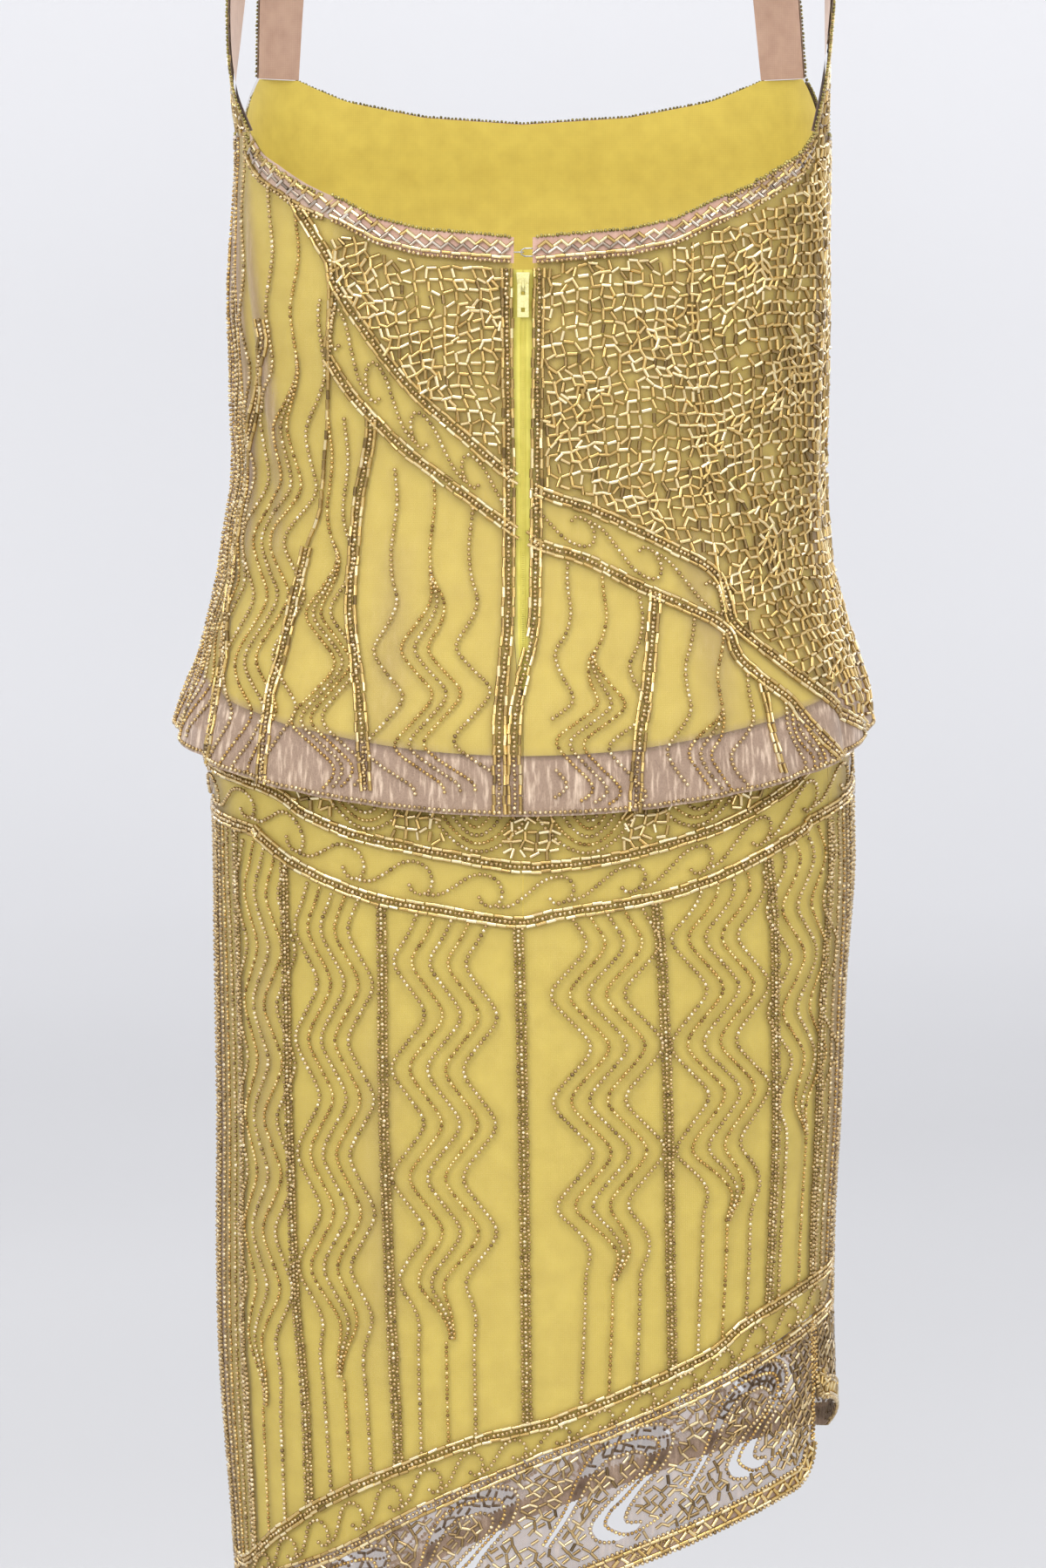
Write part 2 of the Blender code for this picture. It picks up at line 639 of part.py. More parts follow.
def make_tab(front, metal):
    """The pull tab, hanging from the slider's arch. Its origin is on its hinge."""
    pivot = Vector((0, front - TAB["pivot_out"], SLIDER["z"] - TAB["pivot_down"]))
    half, wall = TAB["width"] / 2, TAB["wall"] / 2
    low, high = (-half, -wall, -TAB["length"]), (half, wall, TAB["bar"])
    tab = add_box("zip_pull_tab", low, high, metal, TAB["bevel"])
    gaps = (
        ("tab_slot", TAB["slot_half"], -TAB["bar"], -TAB["slot_end"]),
        ("tab_hole", TAB["hole_half"], -TAB["hole_from"], -TAB["hole_to"]),
    )
    for name, half_gap, top, bottom in gaps:
        cutter = add_box(name, (-half_gap, -half, bottom), (half_gap, half, top), metal)
        PARTS.objects.unlink(cutter)
        CUTTERS.objects.link(cutter)
        cutter.location = pivot
        combine(tab, cutter, "DIFFERENCE")
    tab.location = pivot


def make_hook_and_eye(steel):
    """The eye at +X is a loop of wire, and the hook at -X bends round its bar."""
    middle, loop, bend, bar = HOOK["z"], HOOK["loop"], HOOK["bend"], HOOK["bar_x"]
    layer = back_face(middle) + NET + SEAM_GAP + HOOK["wire"]
    upper = [(HOOK["eye_end"], loop), (HOOK["eye_neck"], loop), (bar, loop / 2)]
    outline = upper + [(x, -up) for x, up in upper[::-1]]
    eye = [(x, layer, middle + up) for x, up in outline]
    add_wire("eye", eye, HOOK["wire"], steel)
    hook = [(HOOK["hook_end"], layer + bend, middle)]
    for k in range(HOOK["turns"] + 1):
        angle = math.pi * k / HOOK["turns"]
        hook.append((bar + bend * math.sin(angle), layer + bend * math.cos(angle), middle))
    hook.append((HOOK["hook_tip"], layer - bend, middle))
    add_wire("hook", hook, HOOK["wire"], steel)


# ---- skirt -----------------------------------------------------------------------------------


def skirt_grid(start, end, columns):
    grid = []
    for k in range(columns + 1):
        place = start + (end - start) * k / columns
        bottom = lined_hem(place) + SEAM_GAP
        heights = [WAIST_JOIN + (bottom - WAIST_JOIN) * n / SKIRT_ROWS for n in range(SKIRT_ROWS + 1)]
        grid.append([skirt_point(place, z) for z in heights])
    return grid


def make_skirt(net, lining):
    seam = math.degrees(SEAM_GAP / 2 / SKIRT_SECTIONS[0]["back"])
    left, right = -SKIRT_SEAM_LEFT, SKIRT_SEAM_RIGHT
    front_end = 360 + left
    panels = (
        ("back_left", left + seam, -seam, SKIRT_BACK_COLUMNS),
        ("back_right", seam, right - seam, SKIRT_BACK_COLUMNS),
        ("front", right + seam, front_end - seam, SKIRT_FRONT_COLUMNS),
    )
    for name, start, end, columns in panels:
        add_cloth(f"skirt_{name}", skirt_grid(start, end, columns), NET, net)
    linings = (
        ("back", left + seam, right - seam, 2 * SKIRT_BACK_COLUMNS),
        ("front", right + seam, front_end - seam, SKIRT_FRONT_COLUMNS),
    )
    for name, start, end, columns in linings:
        # A spare column past each seam keeps the directions at the seams true.
        step = (end - start) / columns
        grid = skirt_grid(start - step, end + step, columns + 2)
        add_cloth(f"skirt_lining_{name}", moved(grid, -NET - LAYER_GAP)[1:-1], LINING, lining)


# ---- lace hem --------------------------------------------------------------------------------


def lace_point(along, drop):
    """The place on the skirt's surface of a point of the flat lace."""
    degrees = 360 * along / HEM_GIRTH
    return skirt_point(degrees, lined_hem(degrees) - drop)


def lace_depth(along, slit, depth_at_slit):
    """Depth of the lace, which changes towards the slit."""
    near = max(0.0, 1 - abs(along - slit) / SLIT_REACH)
    return LACE_DEPTH + (depth_at_slit - LACE_DEPTH) * near


def lace_outline(start, end, slit, depth_at_slit):
    """The flat outline, counter-clockwise, with drop as -v: bottom edge and then top edge, with
    the corner at the slit rounded. Also the count of its points on the top edge."""
    steps = round((end - start) / LACE_GRID)
    along = [start + (end - start) * k / steps for k in range(steps + 1)]
    way = 1 if slit == end else -1
    corner = slit - way * CORNER_RADIUS
    low = CORNER_RADIUS - lace_depth(corner, slit, depth_at_slit)
    straight = [u for u in along if way * (corner - u) > CORNER_RADIUS / 5]
    bottom = [(u, -lace_depth(u, slit, depth_at_slit)) for u in straight]
    arc = []
    for k in range(CORNER_STEPS + 1):
        angle = math.pi / 2 * k / CORNER_STEPS
        reach, fall = CORNER_RADIUS * math.sin(angle), CORNER_RADIUS * math.cos(angle)
        arc.append((corner + way * reach, low - fall))
    bottom = bottom + arc if way > 0 else arc[::-1] + bottom
    return bottom + [(u, 0.0) for u in along[::-1]], len(along)


def slot_outline(first, second, at):
    """A gap of the lace between two lines of one repeat, with net left beside each."""
    inner, outer = [], []
    for a, b in zip(smooth_path(first, SLOT_POINTS), smooth_path(second, SLOT_POINTS)):
        across = Vector(b) - Vector(a)
        edge = across.normalized() * BEAD_EDGE
        inner.append(Vector(a) + edge)
        outer.append(Vector(b) - edge)
    return [(at + p.x, -LACE_TOP - p.y) for p in inner + outer[::-1]]


def lace_slots(loops):
    gold, lower = FLANK_GOLD[:-1] + GOLD_LINE, FLANK_LOWER[:-1] + LOWER_ROW
    slots = [slot_outline(GOLD_LINE, UPPER_ROW, at) for at in loops]
    return slots + [slot_outline(gold, lower, at) for at in loops]


def inside(point, loop):
    """Whether a flat point is inside a closed loop."""
    found = False
    x, y = point
    for (ax, ay), (bx, by) in zip(loop, loop[1:] + loop[:1]):
        if (ay > y) != (by > y) and x < ax + (y - ay) * (bx - ax) / (by - ay):
            found = not found
    return found


def lace_mesh(name, outline, slots):
    """The flat lace with its gaps cut out, in triangles, then laid on the skirt's surface."""
    points = []
    edges = []
    for loop in (outline, *slots):
        first = len(points)
        points += loop
        edges += [(first + k, first + (k + 1) % len(loop)) for k in range(len(loop))]
    low_u, high_u = min(p[0] for p in outline), max(p[0] for p in outline)
    low_v = min(p[1] for p in outline)
    near = LACE_GRID / 3
    for i in range(1, int((high_u - low_u) / LACE_GRID) + 1):
        for j in range(1, int(-low_v / LACE_GRID) + 1):
            spot = (low_u + i * LACE_GRID, -j * LACE_GRID)
            clear = all(math.hypot(spot[0] - p[0], spot[1] - p[1]) > near for p in points)
            if clear and inside(spot, outline) and not any(inside(spot, slot) for slot in slots):
                points.append(spot)
    flat, _, triangles, *_ = delaunay_2d_cdt([Vector(p) for p in points], edges, [], 0, 1e-7)
    faces = []
    for triangle in triangles:
        middle = sum((flat[n] for n in triangle), Vector((0, 0))) / 3
        if inside(middle, outline) and not any(inside(middle, slot) for slot in slots):
            faces.append(triangle)
    mesh = bpy.data.meshes.new(name)
    mesh.from_pydata([lace_point(p.x, -p.y) for p in flat], [], faces)
    work = bmesh.new()
    work.from_mesh(mesh)
    bmesh.ops.delete(work, geom=[v for v in work.verts if not v.link_faces], context="VERTS")
    work.to_mesh(mesh)
    work.free()
    return mesh


def edge_grid(outline, count_on_top):
    """The beaded edge, as a strip inside the outline's bottom edge and corner."""
    path = [Vector(p) for p in outline[:-count_on_top]]
    grid = []
    for k, point in enumerate(path):
        before, after = path[max(k - 1, 0)], path[min(k + 1, len(path) - 1)]
        along = (after - before).normalized()
        inward = Vector((-along.y, along.x))
        column = [point + inward * (EDGE_BAND * share) for share in (1.0, 0.0)]
        grid.append([lace_point(p.x, -p.y) for p in column])
    return moved(grid, SEAM_GAP + TRIM)


def make_lace(net, beaded):
    seam = SEAM_GAP / 2
    slit = SKIRT_SEAM_RIGHT / 360 * HEM_GIRTH
    left = -SKIRT_SEAM_LEFT / 360 * HEM_GIRTH
    ends = (
        ("back", left + seam, slit - seam, slit - seam, LACE_DEPTH_SLIT, BACK_LOOPS),
        ("front", slit + seam, HEM_GIRTH + left - seam, slit + seam, LACE_DEPTH_FRONT_SLIT,
         FRONT_LOOPS),
    )
    for name, start, end, corner, depth_at_slit, loops in ends:
        outline, count_on_top = lace_outline(start, end, corner, depth_at_slit)
        mesh = lace_mesh(f"hem_lace_{name}", outline, lace_slots(loops))
        add_wall(add_object(f"hem_lace_{name}", mesh, net), NET)
        add_cloth(f"hem_edge_{name}", edge_grid(outline, count_on_top), TRIM, beaded)


# ---- the dress -------------------------------------------------------------------------------


def main():
    net = make_material("net", MAUVE, 0.8)
    lining = make_material("lining", YELLOW, 0.6)
    facing = make_material("facing", TAN, 0.7)
    beaded = make_material("beaded_band", BRONZE, 0.4, 0.5)
    zip_yellow = make_material("zip", ZIP_YELLOW, 0.5)
    steel = make_material("steel", STEEL, 0.25, 1.0)
    make_bodice(net, lining)
    make_neckbands(beaded)
    make_straps(net, facing)
    make_tapes(zip_yellow)
    make_tab(make_slider(zip_yellow), zip_yellow)
    make_hook_and_eye(steel)
    make_skirt(net, lining)
    make_lace(net, beaded)


for old in list(bpy.data.objects):
    bpy.data.objects.remove(old)
PARTS = bpy.data.collections.new("flapper_dress")
CUTTERS = bpy.data.collections.new("cutters")
for group in (PARTS, CUTTERS):
    bpy.context.scene.collection.children.link(group)
main()
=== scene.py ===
"""The looks of the beaded flapper dress: sheer net over a lining, glass beadwork laid by rule on flat
patterns of the net, the zip, and a plain studio. Metres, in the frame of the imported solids."""

import math

import bpy
import numpy as np
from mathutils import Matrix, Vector
from mathutils.geometry import delaunay_2d_cdt


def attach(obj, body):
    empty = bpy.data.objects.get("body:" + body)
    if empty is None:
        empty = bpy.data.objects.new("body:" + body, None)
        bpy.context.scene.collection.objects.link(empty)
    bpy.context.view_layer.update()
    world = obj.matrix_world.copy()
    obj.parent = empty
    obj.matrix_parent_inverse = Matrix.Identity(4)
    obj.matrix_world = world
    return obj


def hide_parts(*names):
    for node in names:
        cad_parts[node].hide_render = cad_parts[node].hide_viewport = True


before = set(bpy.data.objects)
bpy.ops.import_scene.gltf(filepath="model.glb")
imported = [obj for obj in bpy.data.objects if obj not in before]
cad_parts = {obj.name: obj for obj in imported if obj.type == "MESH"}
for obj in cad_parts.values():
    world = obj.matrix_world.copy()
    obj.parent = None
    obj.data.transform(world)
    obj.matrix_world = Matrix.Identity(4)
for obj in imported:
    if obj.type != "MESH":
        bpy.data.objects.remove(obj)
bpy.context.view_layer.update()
BODY = "dress"
chance = np.random.default_rng(11)
TINY = 1e-12

# ---- the solids' sizes -----------------------------------------------------------------------

NET, LINING, TRIM = 0.0012, 0.0010, 0.0012
LAYER_GAP, SEAM_GAP = 0.0005, 0.0003
SKIRT_SEAM_RIGHT, SKIRT_SEAM_LEFT = 63.0, -74.0
WAIST_JOIN = -0.485
JOIN_INSET = NET + LAYER_GAP + LINING + 0.0009
HEM_GIRTH = 0.940
LACE_DEPTH, LACE_DEPTH_SLIT, LACE_DEPTH_FRONT_SLIT = 0.087, 0.094, 0.047
SLIT_REACH = 0.110
CORNER_RADIUS = 0.020
EDGE_BAND = 0.012
NECKBAND_HEIGHT = 0.0145
BACK_NECKBAND_END, STRAP_BACK, STRAP_FRONT = 36.0, (59.0, 73.0), (134.0, 120.0)

# Level sections: height, half widths to -X and +X, depths to back and front, and the outline's power.
BODICE_SECTIONS = np.array((
    (-0.150, 0.168, 0.177, 0.100, 0.107, 3.0), (-0.210, 0.166, 0.177, 0.105, 0.115, 3.0),
    (-0.250, 0.167, 0.177, 0.108, 0.121, 2.9), (-0.300, 0.169, 0.1765, 0.111, 0.120, 2.7),
    (-0.352, 0.168, 0.1755, 0.112, 0.114, 2.5), (-0.408, 0.167, 0.1745, 0.112, 0.109, 2.4),
    (-0.453, 0.174, 0.1775, 0.116, 0.110, 2.3), (-0.485, 0.180, 0.1840, 0.121, 0.113, 2.3),
    (-0.512, 0.186, 0.1920, 0.126, 0.117, 2.3), (-0.534, 0.194, 0.1975, 0.130, 0.121, 2.3),
    (-0.552, 0.198, 0.1985, 0.134, 0.125, 2.3), (-0.600, 0.206, 0.2060, 0.138, 0.129, 2.3),
))
SKIRT_SECTIONS = np.array((
    (-0.530, 0.1830, 0.1880, 0.121, 0.114, 2.3), (-0.576, 0.1855, 0.1925, 0.125, 0.117, 2.3),
    (-0.603, 0.1815, 0.1930, 0.127, 0.118, 2.3), (-0.643, 0.1805, 0.1935, 0.128, 0.119, 2.3),
    (-0.713, 0.1790, 0.1894, 0.126, 0.118, 2.3), (-0.786, 0.1780, 0.1870, 0.123, 0.117, 2.3),
    (-0.842, 0.1785, 0.1840, 0.121, 0.116, 2.3), (-0.896, 0.1785, 0.1830, 0.120, 0.116, 2.3),
    (-0.941, 0.1770, 0.1840, 0.119, 0.116, 2.3), (-1.031, 0.1710, 0.1840, 0.118, 0.115, 2.3),
    (-1.150, 0.1650, 0.1840, 0.117, 0.115, 2.3),
))
# Degrees round from the centre back, and height.
TOP_EDGE = np.array((
    (0, -0.274), (19, -0.269), (27, -0.263), (34, -0.252), (41, -0.243), (48, -0.232),
    (53, -0.2256), (59, -0.213), (73, -0.213), (90, -0.215), (105, -0.208), (120, -0.178),
    (134, -0.178), (145, -0.190), (160, -0.199), (180, -0.203),
))
BODICE_HEM = {"side": -0.553, "back": -0.598, "front": -0.592}
LINING_HEM = {"side": -0.512, "back": -0.564, "front": -0.558}
HEM_BEND = 1.4
# Across from the centre, and height of the lined skirt's bottom.
HEM_LINE = np.array((
    (-0.1800, -1.0580), (-0.1135, -1.0270), (-0.0600, -0.9970), (0.0000, -0.9700),
    (0.0750, -0.9410), (0.1300, -0.9170), (0.1840, -0.8910),
))
# Degrees, half spread, how far it stands out at the hem, and where it starts.
FLUTES = (
    (44, 4.0, 0.0030, -0.500), (56, 4.3, 0.0055, -0.475), (69, 4.4, 0.0045, -0.490),
    (83, 4.8, 0.0060, -0.460), (98, 4.8, 0.0050, -0.470), (112, 4.3, 0.0045, -0.480),
    (126, 4.2, 0.0030, -0.495), (-41, 4.0, 0.0040, -0.500), (-54, 4.4, 0.0060, -0.485),
    (-68, 4.4, 0.0070, -0.470), (-84, 5.0, 0.0055, -0.465), (-100, 4.8, 0.0060, -0.475),
    (-115, 4.3, 0.0040, -0.485), (-129, 4.2, 0.0030, -0.495),
)
# Height, and half the width of the opening at the centre back.
OPENING = np.array((
    (-0.531, 0.00015), (-0.518, 0.0022), (-0.450, 0.0040), (-0.330, 0.0060), (-0.293, 0.0064),
    (-0.274, 0.0052),
))
LINING_OPENING = np.array(((-0.531, 0.00015), (-0.526, 0.0030), (-0.460, 0.0082)))
NECK_OPENING = math.degrees(math.asin(OPENING[-1, 1] / 0.17))  # the neckbands' start, in degrees
ZIP = {"top": -0.2915, "bottom": -0.527, "half_coil": 0.0004, "gap": 0.0004}
# Straps: neck edge z, x to -X, x to +X, y; arm edge x to -X, x to +X, y, z.
STRAP_STATIONS = (
    (-0.190, 0.1640, 0.1705, -0.0640, 0.1665, 0.1750, -0.0370, -0.188),
    (-0.160, 0.1675, 0.1745, -0.0660, 0.1630, 0.1745, -0.0400, -0.158),
    (-0.120, 0.1660, 0.1755, -0.0660, 0.1590, 0.1735, -0.0410, -0.120),
    (-0.070, 0.1560, 0.1630, -0.0580, 0.1590, 0.1690, -0.0350, -0.074),
    (-0.022, 0.1370, 0.1420, -0.0330, 0.1560, 0.1620, -0.0220, -0.032),
    (0.0000, 0.1230, 0.1270, 0.0000, 0.1520, 0.1560, 0.0020, -0.0120),
    (-0.024, 0.1220, 0.1260, 0.0400, 0.1520, 0.1560, 0.0300, -0.034),
    (-0.080, 0.1270, 0.1320, 0.0700, 0.1545, 0.1590, 0.0480, -0.085),
    (-0.135, 0.1320, 0.1385, 0.0840, 0.1565, 0.1640, 0.0570, -0.138),
)
# One repeat of the lace: places along the hem and drops below the top of the loop.
LACE_TOP = 0.0155
GOLD_LINE = (
    (-0.0258, -0.0038), (-0.0137, -0.0045), (0.0, 0.0), (0.0039, 0.0082), (0.0022, 0.0147),
    (-0.0022, 0.0199), (-0.0079, 0.0243), (-0.0135, 0.0294), (-0.0186, 0.0330),
    (-0.0217, 0.0389), (-0.0198, 0.0432), (-0.0140, 0.0494), (-0.0079, 0.0514),
)
UPPER_ROW = (
    (-0.0215, -0.0095), (-0.0115, -0.0100), (0.0040, -0.0055), (0.0105, 0.0035), (0.0083, 0.0150),
    (0.0022, 0.0225), (-0.0035, 0.0272), (-0.0088, 0.0335), (-0.0112, 0.0375),
    (-0.0120, 0.0410), (-0.0108, 0.0440), (-0.0075, 0.0455), (-0.0040, 0.0470),
)
LOWER_ROW = (
    (-0.0205, 0.0030), (-0.0130, 0.0035), (-0.0073, 0.0045), (-0.0022, 0.0100), (-0.0032, 0.0160),
    (-0.0080, 0.0205), (-0.0138, 0.0230), (-0.0182, 0.0262), (-0.0228, 0.0300),
    (-0.0272, 0.0350), (-0.0285, 0.0410), (-0.0245, 0.0485), (-0.0165, 0.0525),
)
FLANK_GOLD = ((-0.0508, 0.0386), (-0.0404, 0.0229), (-0.0336, 0.0052), (-0.0258, -0.0038))
FLANK_LOWER = ((-0.0475, 0.0410), (-0.0365, 0.0260), (-0.0285, 0.0105), (-0.0205, 0.0030))
BEAD_EDGE = 0.0011
BACK_LOOPS = (0.1265, 0.0597, -0.0130, -0.0780, -0.1430)
FRONT_LOOPS = (0.335, 0.404, 0.474, 0.544, 0.614, 0.684)

# ---- the camera, in the photograph's frame ---------------------------------------------------

VIEW = {"distance": 3.2, "down": math.radians(5.0), "target": -0.5916, "width": 1200, "height": 1799,
        "pixel": 0.000512}  # metres a pixel at the target

# ---- curves and forms ------------------------------------------------------------------------


def smooth(rows, where):
    """A table's columns at places between its rows, along smooth curves. Column 0 is the place."""
    rows = np.asarray(rows, float)
    rows = rows[np.argsort(rows[:, 0])]
    places, values = rows[:, 0], rows[:, 1:]
    where = np.clip(np.asarray(where, float).ravel(), places[0], places[-1])
    n = np.arange(len(places))
    low, high = np.maximum(n - 1, 0), np.minimum(n + 1, n[-1])
    slopes = (values[high] - values[low]) / (places[high] - places[low])[:, None]
    i = np.clip(np.searchsorted(places, where), 1, n[-1])
    step = (places[i] - places[i - 1])[:, None]
    t = (where - places[i - 1])[:, None] / step
    return (
        values[i - 1] * (1 + 2 * t) * (1 - t) ** 2
        + slopes[i - 1] * step * t * (1 - t) ** 2
        + values[i] * t * t * (3 - 2 * t)
        - slopes[i] * step * t * t * (1 - t)
    )


def through(points, at):
    """Places on the smooth curve through these points, where point n is at n."""
    return smooth(np.column_stack([np.arange(len(points)), points]), at)


def curve(points, fine=0.0006):
    """Dense points on a smooth curve through these."""
    points = np.asarray(points, float)
    count = max(3, int(np.linalg.norm(np.diff(points, axis=0), axis=1).sum() / fine))
    return through(points, np.linspace(0, len(points) - 1, count))


def ease(low, high, where):
    """0 at low and before, 1 at high and past it, smooth between."""
    t = np.clip((np.asarray(where, float) - low) / (high - low), 0, 1)
    return t * t * (3 - 2 * t)


def ring(sections, degrees, z):
    left, right, back, front, power = smooth(sections, z).T
    s, c = np.sin(np.radians(degrees)), np.cos(np.radians(degrees))
    out = (np.abs(s) ** power + np.abs(c) ** power) ** (-1 / power)
    x = out * np.where(s > 0, right, left) * s
    y = -out * np.where(c > 0, back, front) * c
    return np.stack([x, y, z], -1)


def pushed(points, out):
    """Points moved level away from the dress's middle line."""
    scale = 1 + out / np.hypot(points[:, 0], points[:, 1])
    return points * np.stack([scale, scale, np.ones_like(scale)], -1)


def away(degrees, place):
    return (degrees - place + 180) % 360 - 180


def unit(vectors, least=0.0):
    """Vectors of length 1. The least value keeps those of no length from a division by zero."""
    return vectors / (np.linalg.norm(vectors, axis=1)[:, None] + least)


def quarter(runs):
    """Flat directions turned a quarter, to the right of a run downwards."""
    return np.column_stack([-runs[:, 1], runs[:, 0]])


def shifted(path, aside):
    """A flat path moved to its right as it is followed downwards, by one or many distances."""
    run = unit(np.gradient(path, axis=0), TINY)
    return path + quarter(run) * np.asarray(aside).reshape(-1, 1)


def evenly(total, pitch):
    """Middles of the even steps, of about this pitch, that fit in a length."""
    count = int(total / pitch)
    return (np.arange(count) + 0.5) * total / max(count, 1)


def to_and_fro(count):
    return np.where(np.arange(count) % 2 == 0, 1.0, -1.0)


def lengths(points):
    """Distance along a path at each of its points."""
    return np.concatenate([[0], np.cumsum(np.linalg.norm(np.diff(points, axis=0), axis=1))])


def along_path(path, far, at):
    """Points of a flat path at these distances, where far is the distance of each of its points."""
    return np.column_stack([np.interp(at, far, path[:, k]) for k in (0, 1)])


def height_on(path, spots):
    """Height of a flat path at the places of the spots."""
    order = np.argsort(path[:, 0])
    return np.interp(spots[:, 0], path[order, 0], path[order, 1])


# Creases: degrees, height of the top, height of the bottom, half spread in degrees, how far out
# (negative for a trough), and lean in degrees from top to bottom.
BODICE_CREASES = (
    (-61, -0.235, -0.400, 1.6, 0.0022, 9), (-67, -0.230, -0.470, 1.9, 0.0026, 6),
    (-75, -0.225, -0.380, 2.4, -0.0022, 3), (-83, -0.240, -0.520, 2.1, 0.0024, -2),
    (-56, -0.330, -0.470, 1.5, 0.0012, 6), (-93, -0.240, -0.430, 2.6, 0.0020, 0),
    (57, -0.270, -0.420, 3.0, -0.0014, 3), (66, -0.250, -0.500, 2.6, 0.0018, 2),
    (77, -0.240, -0.430, 2.4, -0.0018, -2), (86, -0.280, -0.540, 2.5, 0.0020, 0),
    (100, -0.250, -0.470, 2.6, -0.0016, 2), (118, -0.260, -0.420, 3.0, 0.0014, 3),
    (-112, -0.260, -0.450, 2.8, 0.0015, -3), (141, -0.300, -0.480, 3.4, 0.0011, -5),
    (-139, -0.290, -0.430, 3.2, 0.0012, 4), (-24, -0.440, -0.560, 2.6, 0.0007, 2),
    (15, -0.470, -0.570, 3.0, -0.0008, -3), (31, -0.430, -0.560, 2.4, 0.0009, 3),
    (-36, -0.470, -0.570, 2.0, -0.0009, 3), (164, -0.420, -0.560, 3.0, 0.0010, 4),
    (-160, -0.400, -0.540, 3.0, -0.0009, 3),
)
# Crinkles of the unlined hem band: degrees, half spread, and how far out.
CRINKLES = (
    (-3, 0.9, 0.0007), (5, 1.3, -0.0009), (9, 0.8, 0.0010), (13.5, 1.1, 0.0008), (18, 0.8, -0.0011),
    (21, 0.9, 0.0013), (25, 1.2, -0.0009), (28, 0.8, 0.0012), (31.5, 0.9, 0.0009), (35, 1.0, -0.0014),
    (38.5, 1.1, 0.0016), (48, 1.2, -0.0015), (51, 1.0, 0.0012), (62, 1.1, -0.0018), (76, 1.2, -0.0016),
    (-8, 1.1, -0.0007), (-12, 0.9, 0.0009), (-17, 1.3, -0.0008), (-22, 1.0, 0.0012), (-26, 0.8, -0.0011),
    (-29, 0.9, 0.0010), (-33, 1.1, 0.0013), (-37, 0.8, -0.0012), (-47, 1.2, -0.0016), (-61, 1.1, -0.0018),
    (-76, 1.2, -0.0017), (91, 1.2, -0.0015), (105, 1.2, -0.0013), (133, 1.1, 0.0013), (140, 0.9, -0.0012),
    (147, 1.2, 0.0011), (154, 0.9, -0.0009), (160, 1.3, 0.0012), (168, 1.0, -0.0010), (175, 1.1, 0.0009),
    (-92, 1.3, -0.0014), (-107, 1.1, -0.0013), (-122, 1.2, -0.0012), (-136, 1.1, 0.0012),
    (-144, 1.0, -0.0011), (-151, 1.3, 0.0012), (-159, 0.9, -0.0009), (-166, 1.1, 0.0011),
    (-173, 0.9, -0.0008),
)
SKIRT_CREASES = (
    (-79, -0.600, -1.080, 3.0, 0.0022, 2), (-66, -0.620, -1.040, 2.4, -0.0016, 1),
    (-52, -0.640, -0.900, 2.6, 0.0010, -2), (-90, -0.590, -0.950, 3.5, -0.0020, 0),
    (71, -0.600, -0.900, 3.0, 0.0018, -1), (60, -0.620, -0.880, 2.2, -0.0012, 1),
    (84, -0.620, -0.960, 3.4, -0.0016, 2), (104, -0.600, -0.940, 3.2, 0.0018, 1),
    (-108, -0.610, -1.020, 3.0, 0.0020, -2), (128, -0.620, -0.900, 3.2, -0.0012, 2),
    (-131, -0.640, -0.980, 3.3, 0.0012, 1), (154, -0.660, -0.930, 3.5, 0.0010, -2),
    (-156, -0.640, -0.960, 3.0, -0.0011, 2), (-27, -0.700, -0.950, 3.0, 0.0007, 1),
    (30, -0.680, -0.930, 3.2, -0.0008, -1),
)


def creased(creases, degrees, z):
    """How far the creases move the cloth out."""
    out = np.zeros_like(z)
    for place, top, bottom, spread, height, lean in creases:
        down = np.clip((top - z) / (top - bottom), 0, 1)
        fade = np.sin(math.pi * down) ** 0.7
        out += height * fade * np.exp(-0.5 * (away(degrees, place + lean * down) / spread) ** 2)
    return out


def bodice_form(degrees, z):
    points = ring(BODICE_SECTIONS, degrees, z)
    out = creased(BODICE_CREASES, degrees, z)
    for place, spread, height, start in FLUTES:
        grown = np.clip((start - z) / (start - BODICE_HEM["side"]), 0, 1)
        out += height * grown**1.5 * np.exp(-0.5 * (away(degrees, place) / spread) ** 2)
    low = ease(0.0, 0.032, swing(LINING_HEM, degrees) + 0.006 - z)
    for place, spread, height in CRINKLES:
        out += height * low * np.exp(-0.5 * (away(degrees, place) / spread) ** 2)
    return pushed(points, out)


def skirt_table():
    """The skirt's sections below its join, which is just inside the bodice's lining."""
    join = smooth(BODICE_SECTIONS, WAIST_JOIN)[0]
    join[:4] -= JOIN_INSET
    return np.vstack([[WAIST_JOIN, *join], SKIRT_SECTIONS])


SKIRT_TABLE = skirt_table()


def skirt_form(degrees, z):
    points = ring(SKIRT_TABLE, degrees, z)
    return pushed(points, creased(SKIRT_CREASES, degrees, z) * ease(0.02, 0.08, -0.60 - z))


def swing(levels, degrees):
    """Height of an edge that swings from the side seams down to the centre back and front."""
    c = np.cos(np.radians(degrees))
    middle = np.where(c > 0, levels["back"], levels["front"])
    return levels["side"] + (middle - levels["side"]) * np.abs(c) ** HEM_BEND


def top_edge(degrees):
    return np.interp(np.abs(away(np.asarray(degrees, float), 0)), TOP_EDGE[:, 0], TOP_EDGE[:, 1])


def lined_hem(degrees):
    """Bottom of the lined skirt, where the lace starts."""
    degrees = np.asarray(degrees, float).ravel()
    middle = np.full_like(degrees, -0.970)
    return smooth(HEM_LINE, ring(SKIRT_TABLE, degrees, middle)[:, 0])[:, 0]


def normals_of(form, degrees, z):
    """Outward directions, from steps of a little turn and drop."""
    turn, drop = 0.15, 0.0006
    across = form(degrees + turn, z) - form(degrees - turn, z)
    up = form(degrees, z + drop) - form(degrees, z - drop)
    return unit(np.cross(across, up))


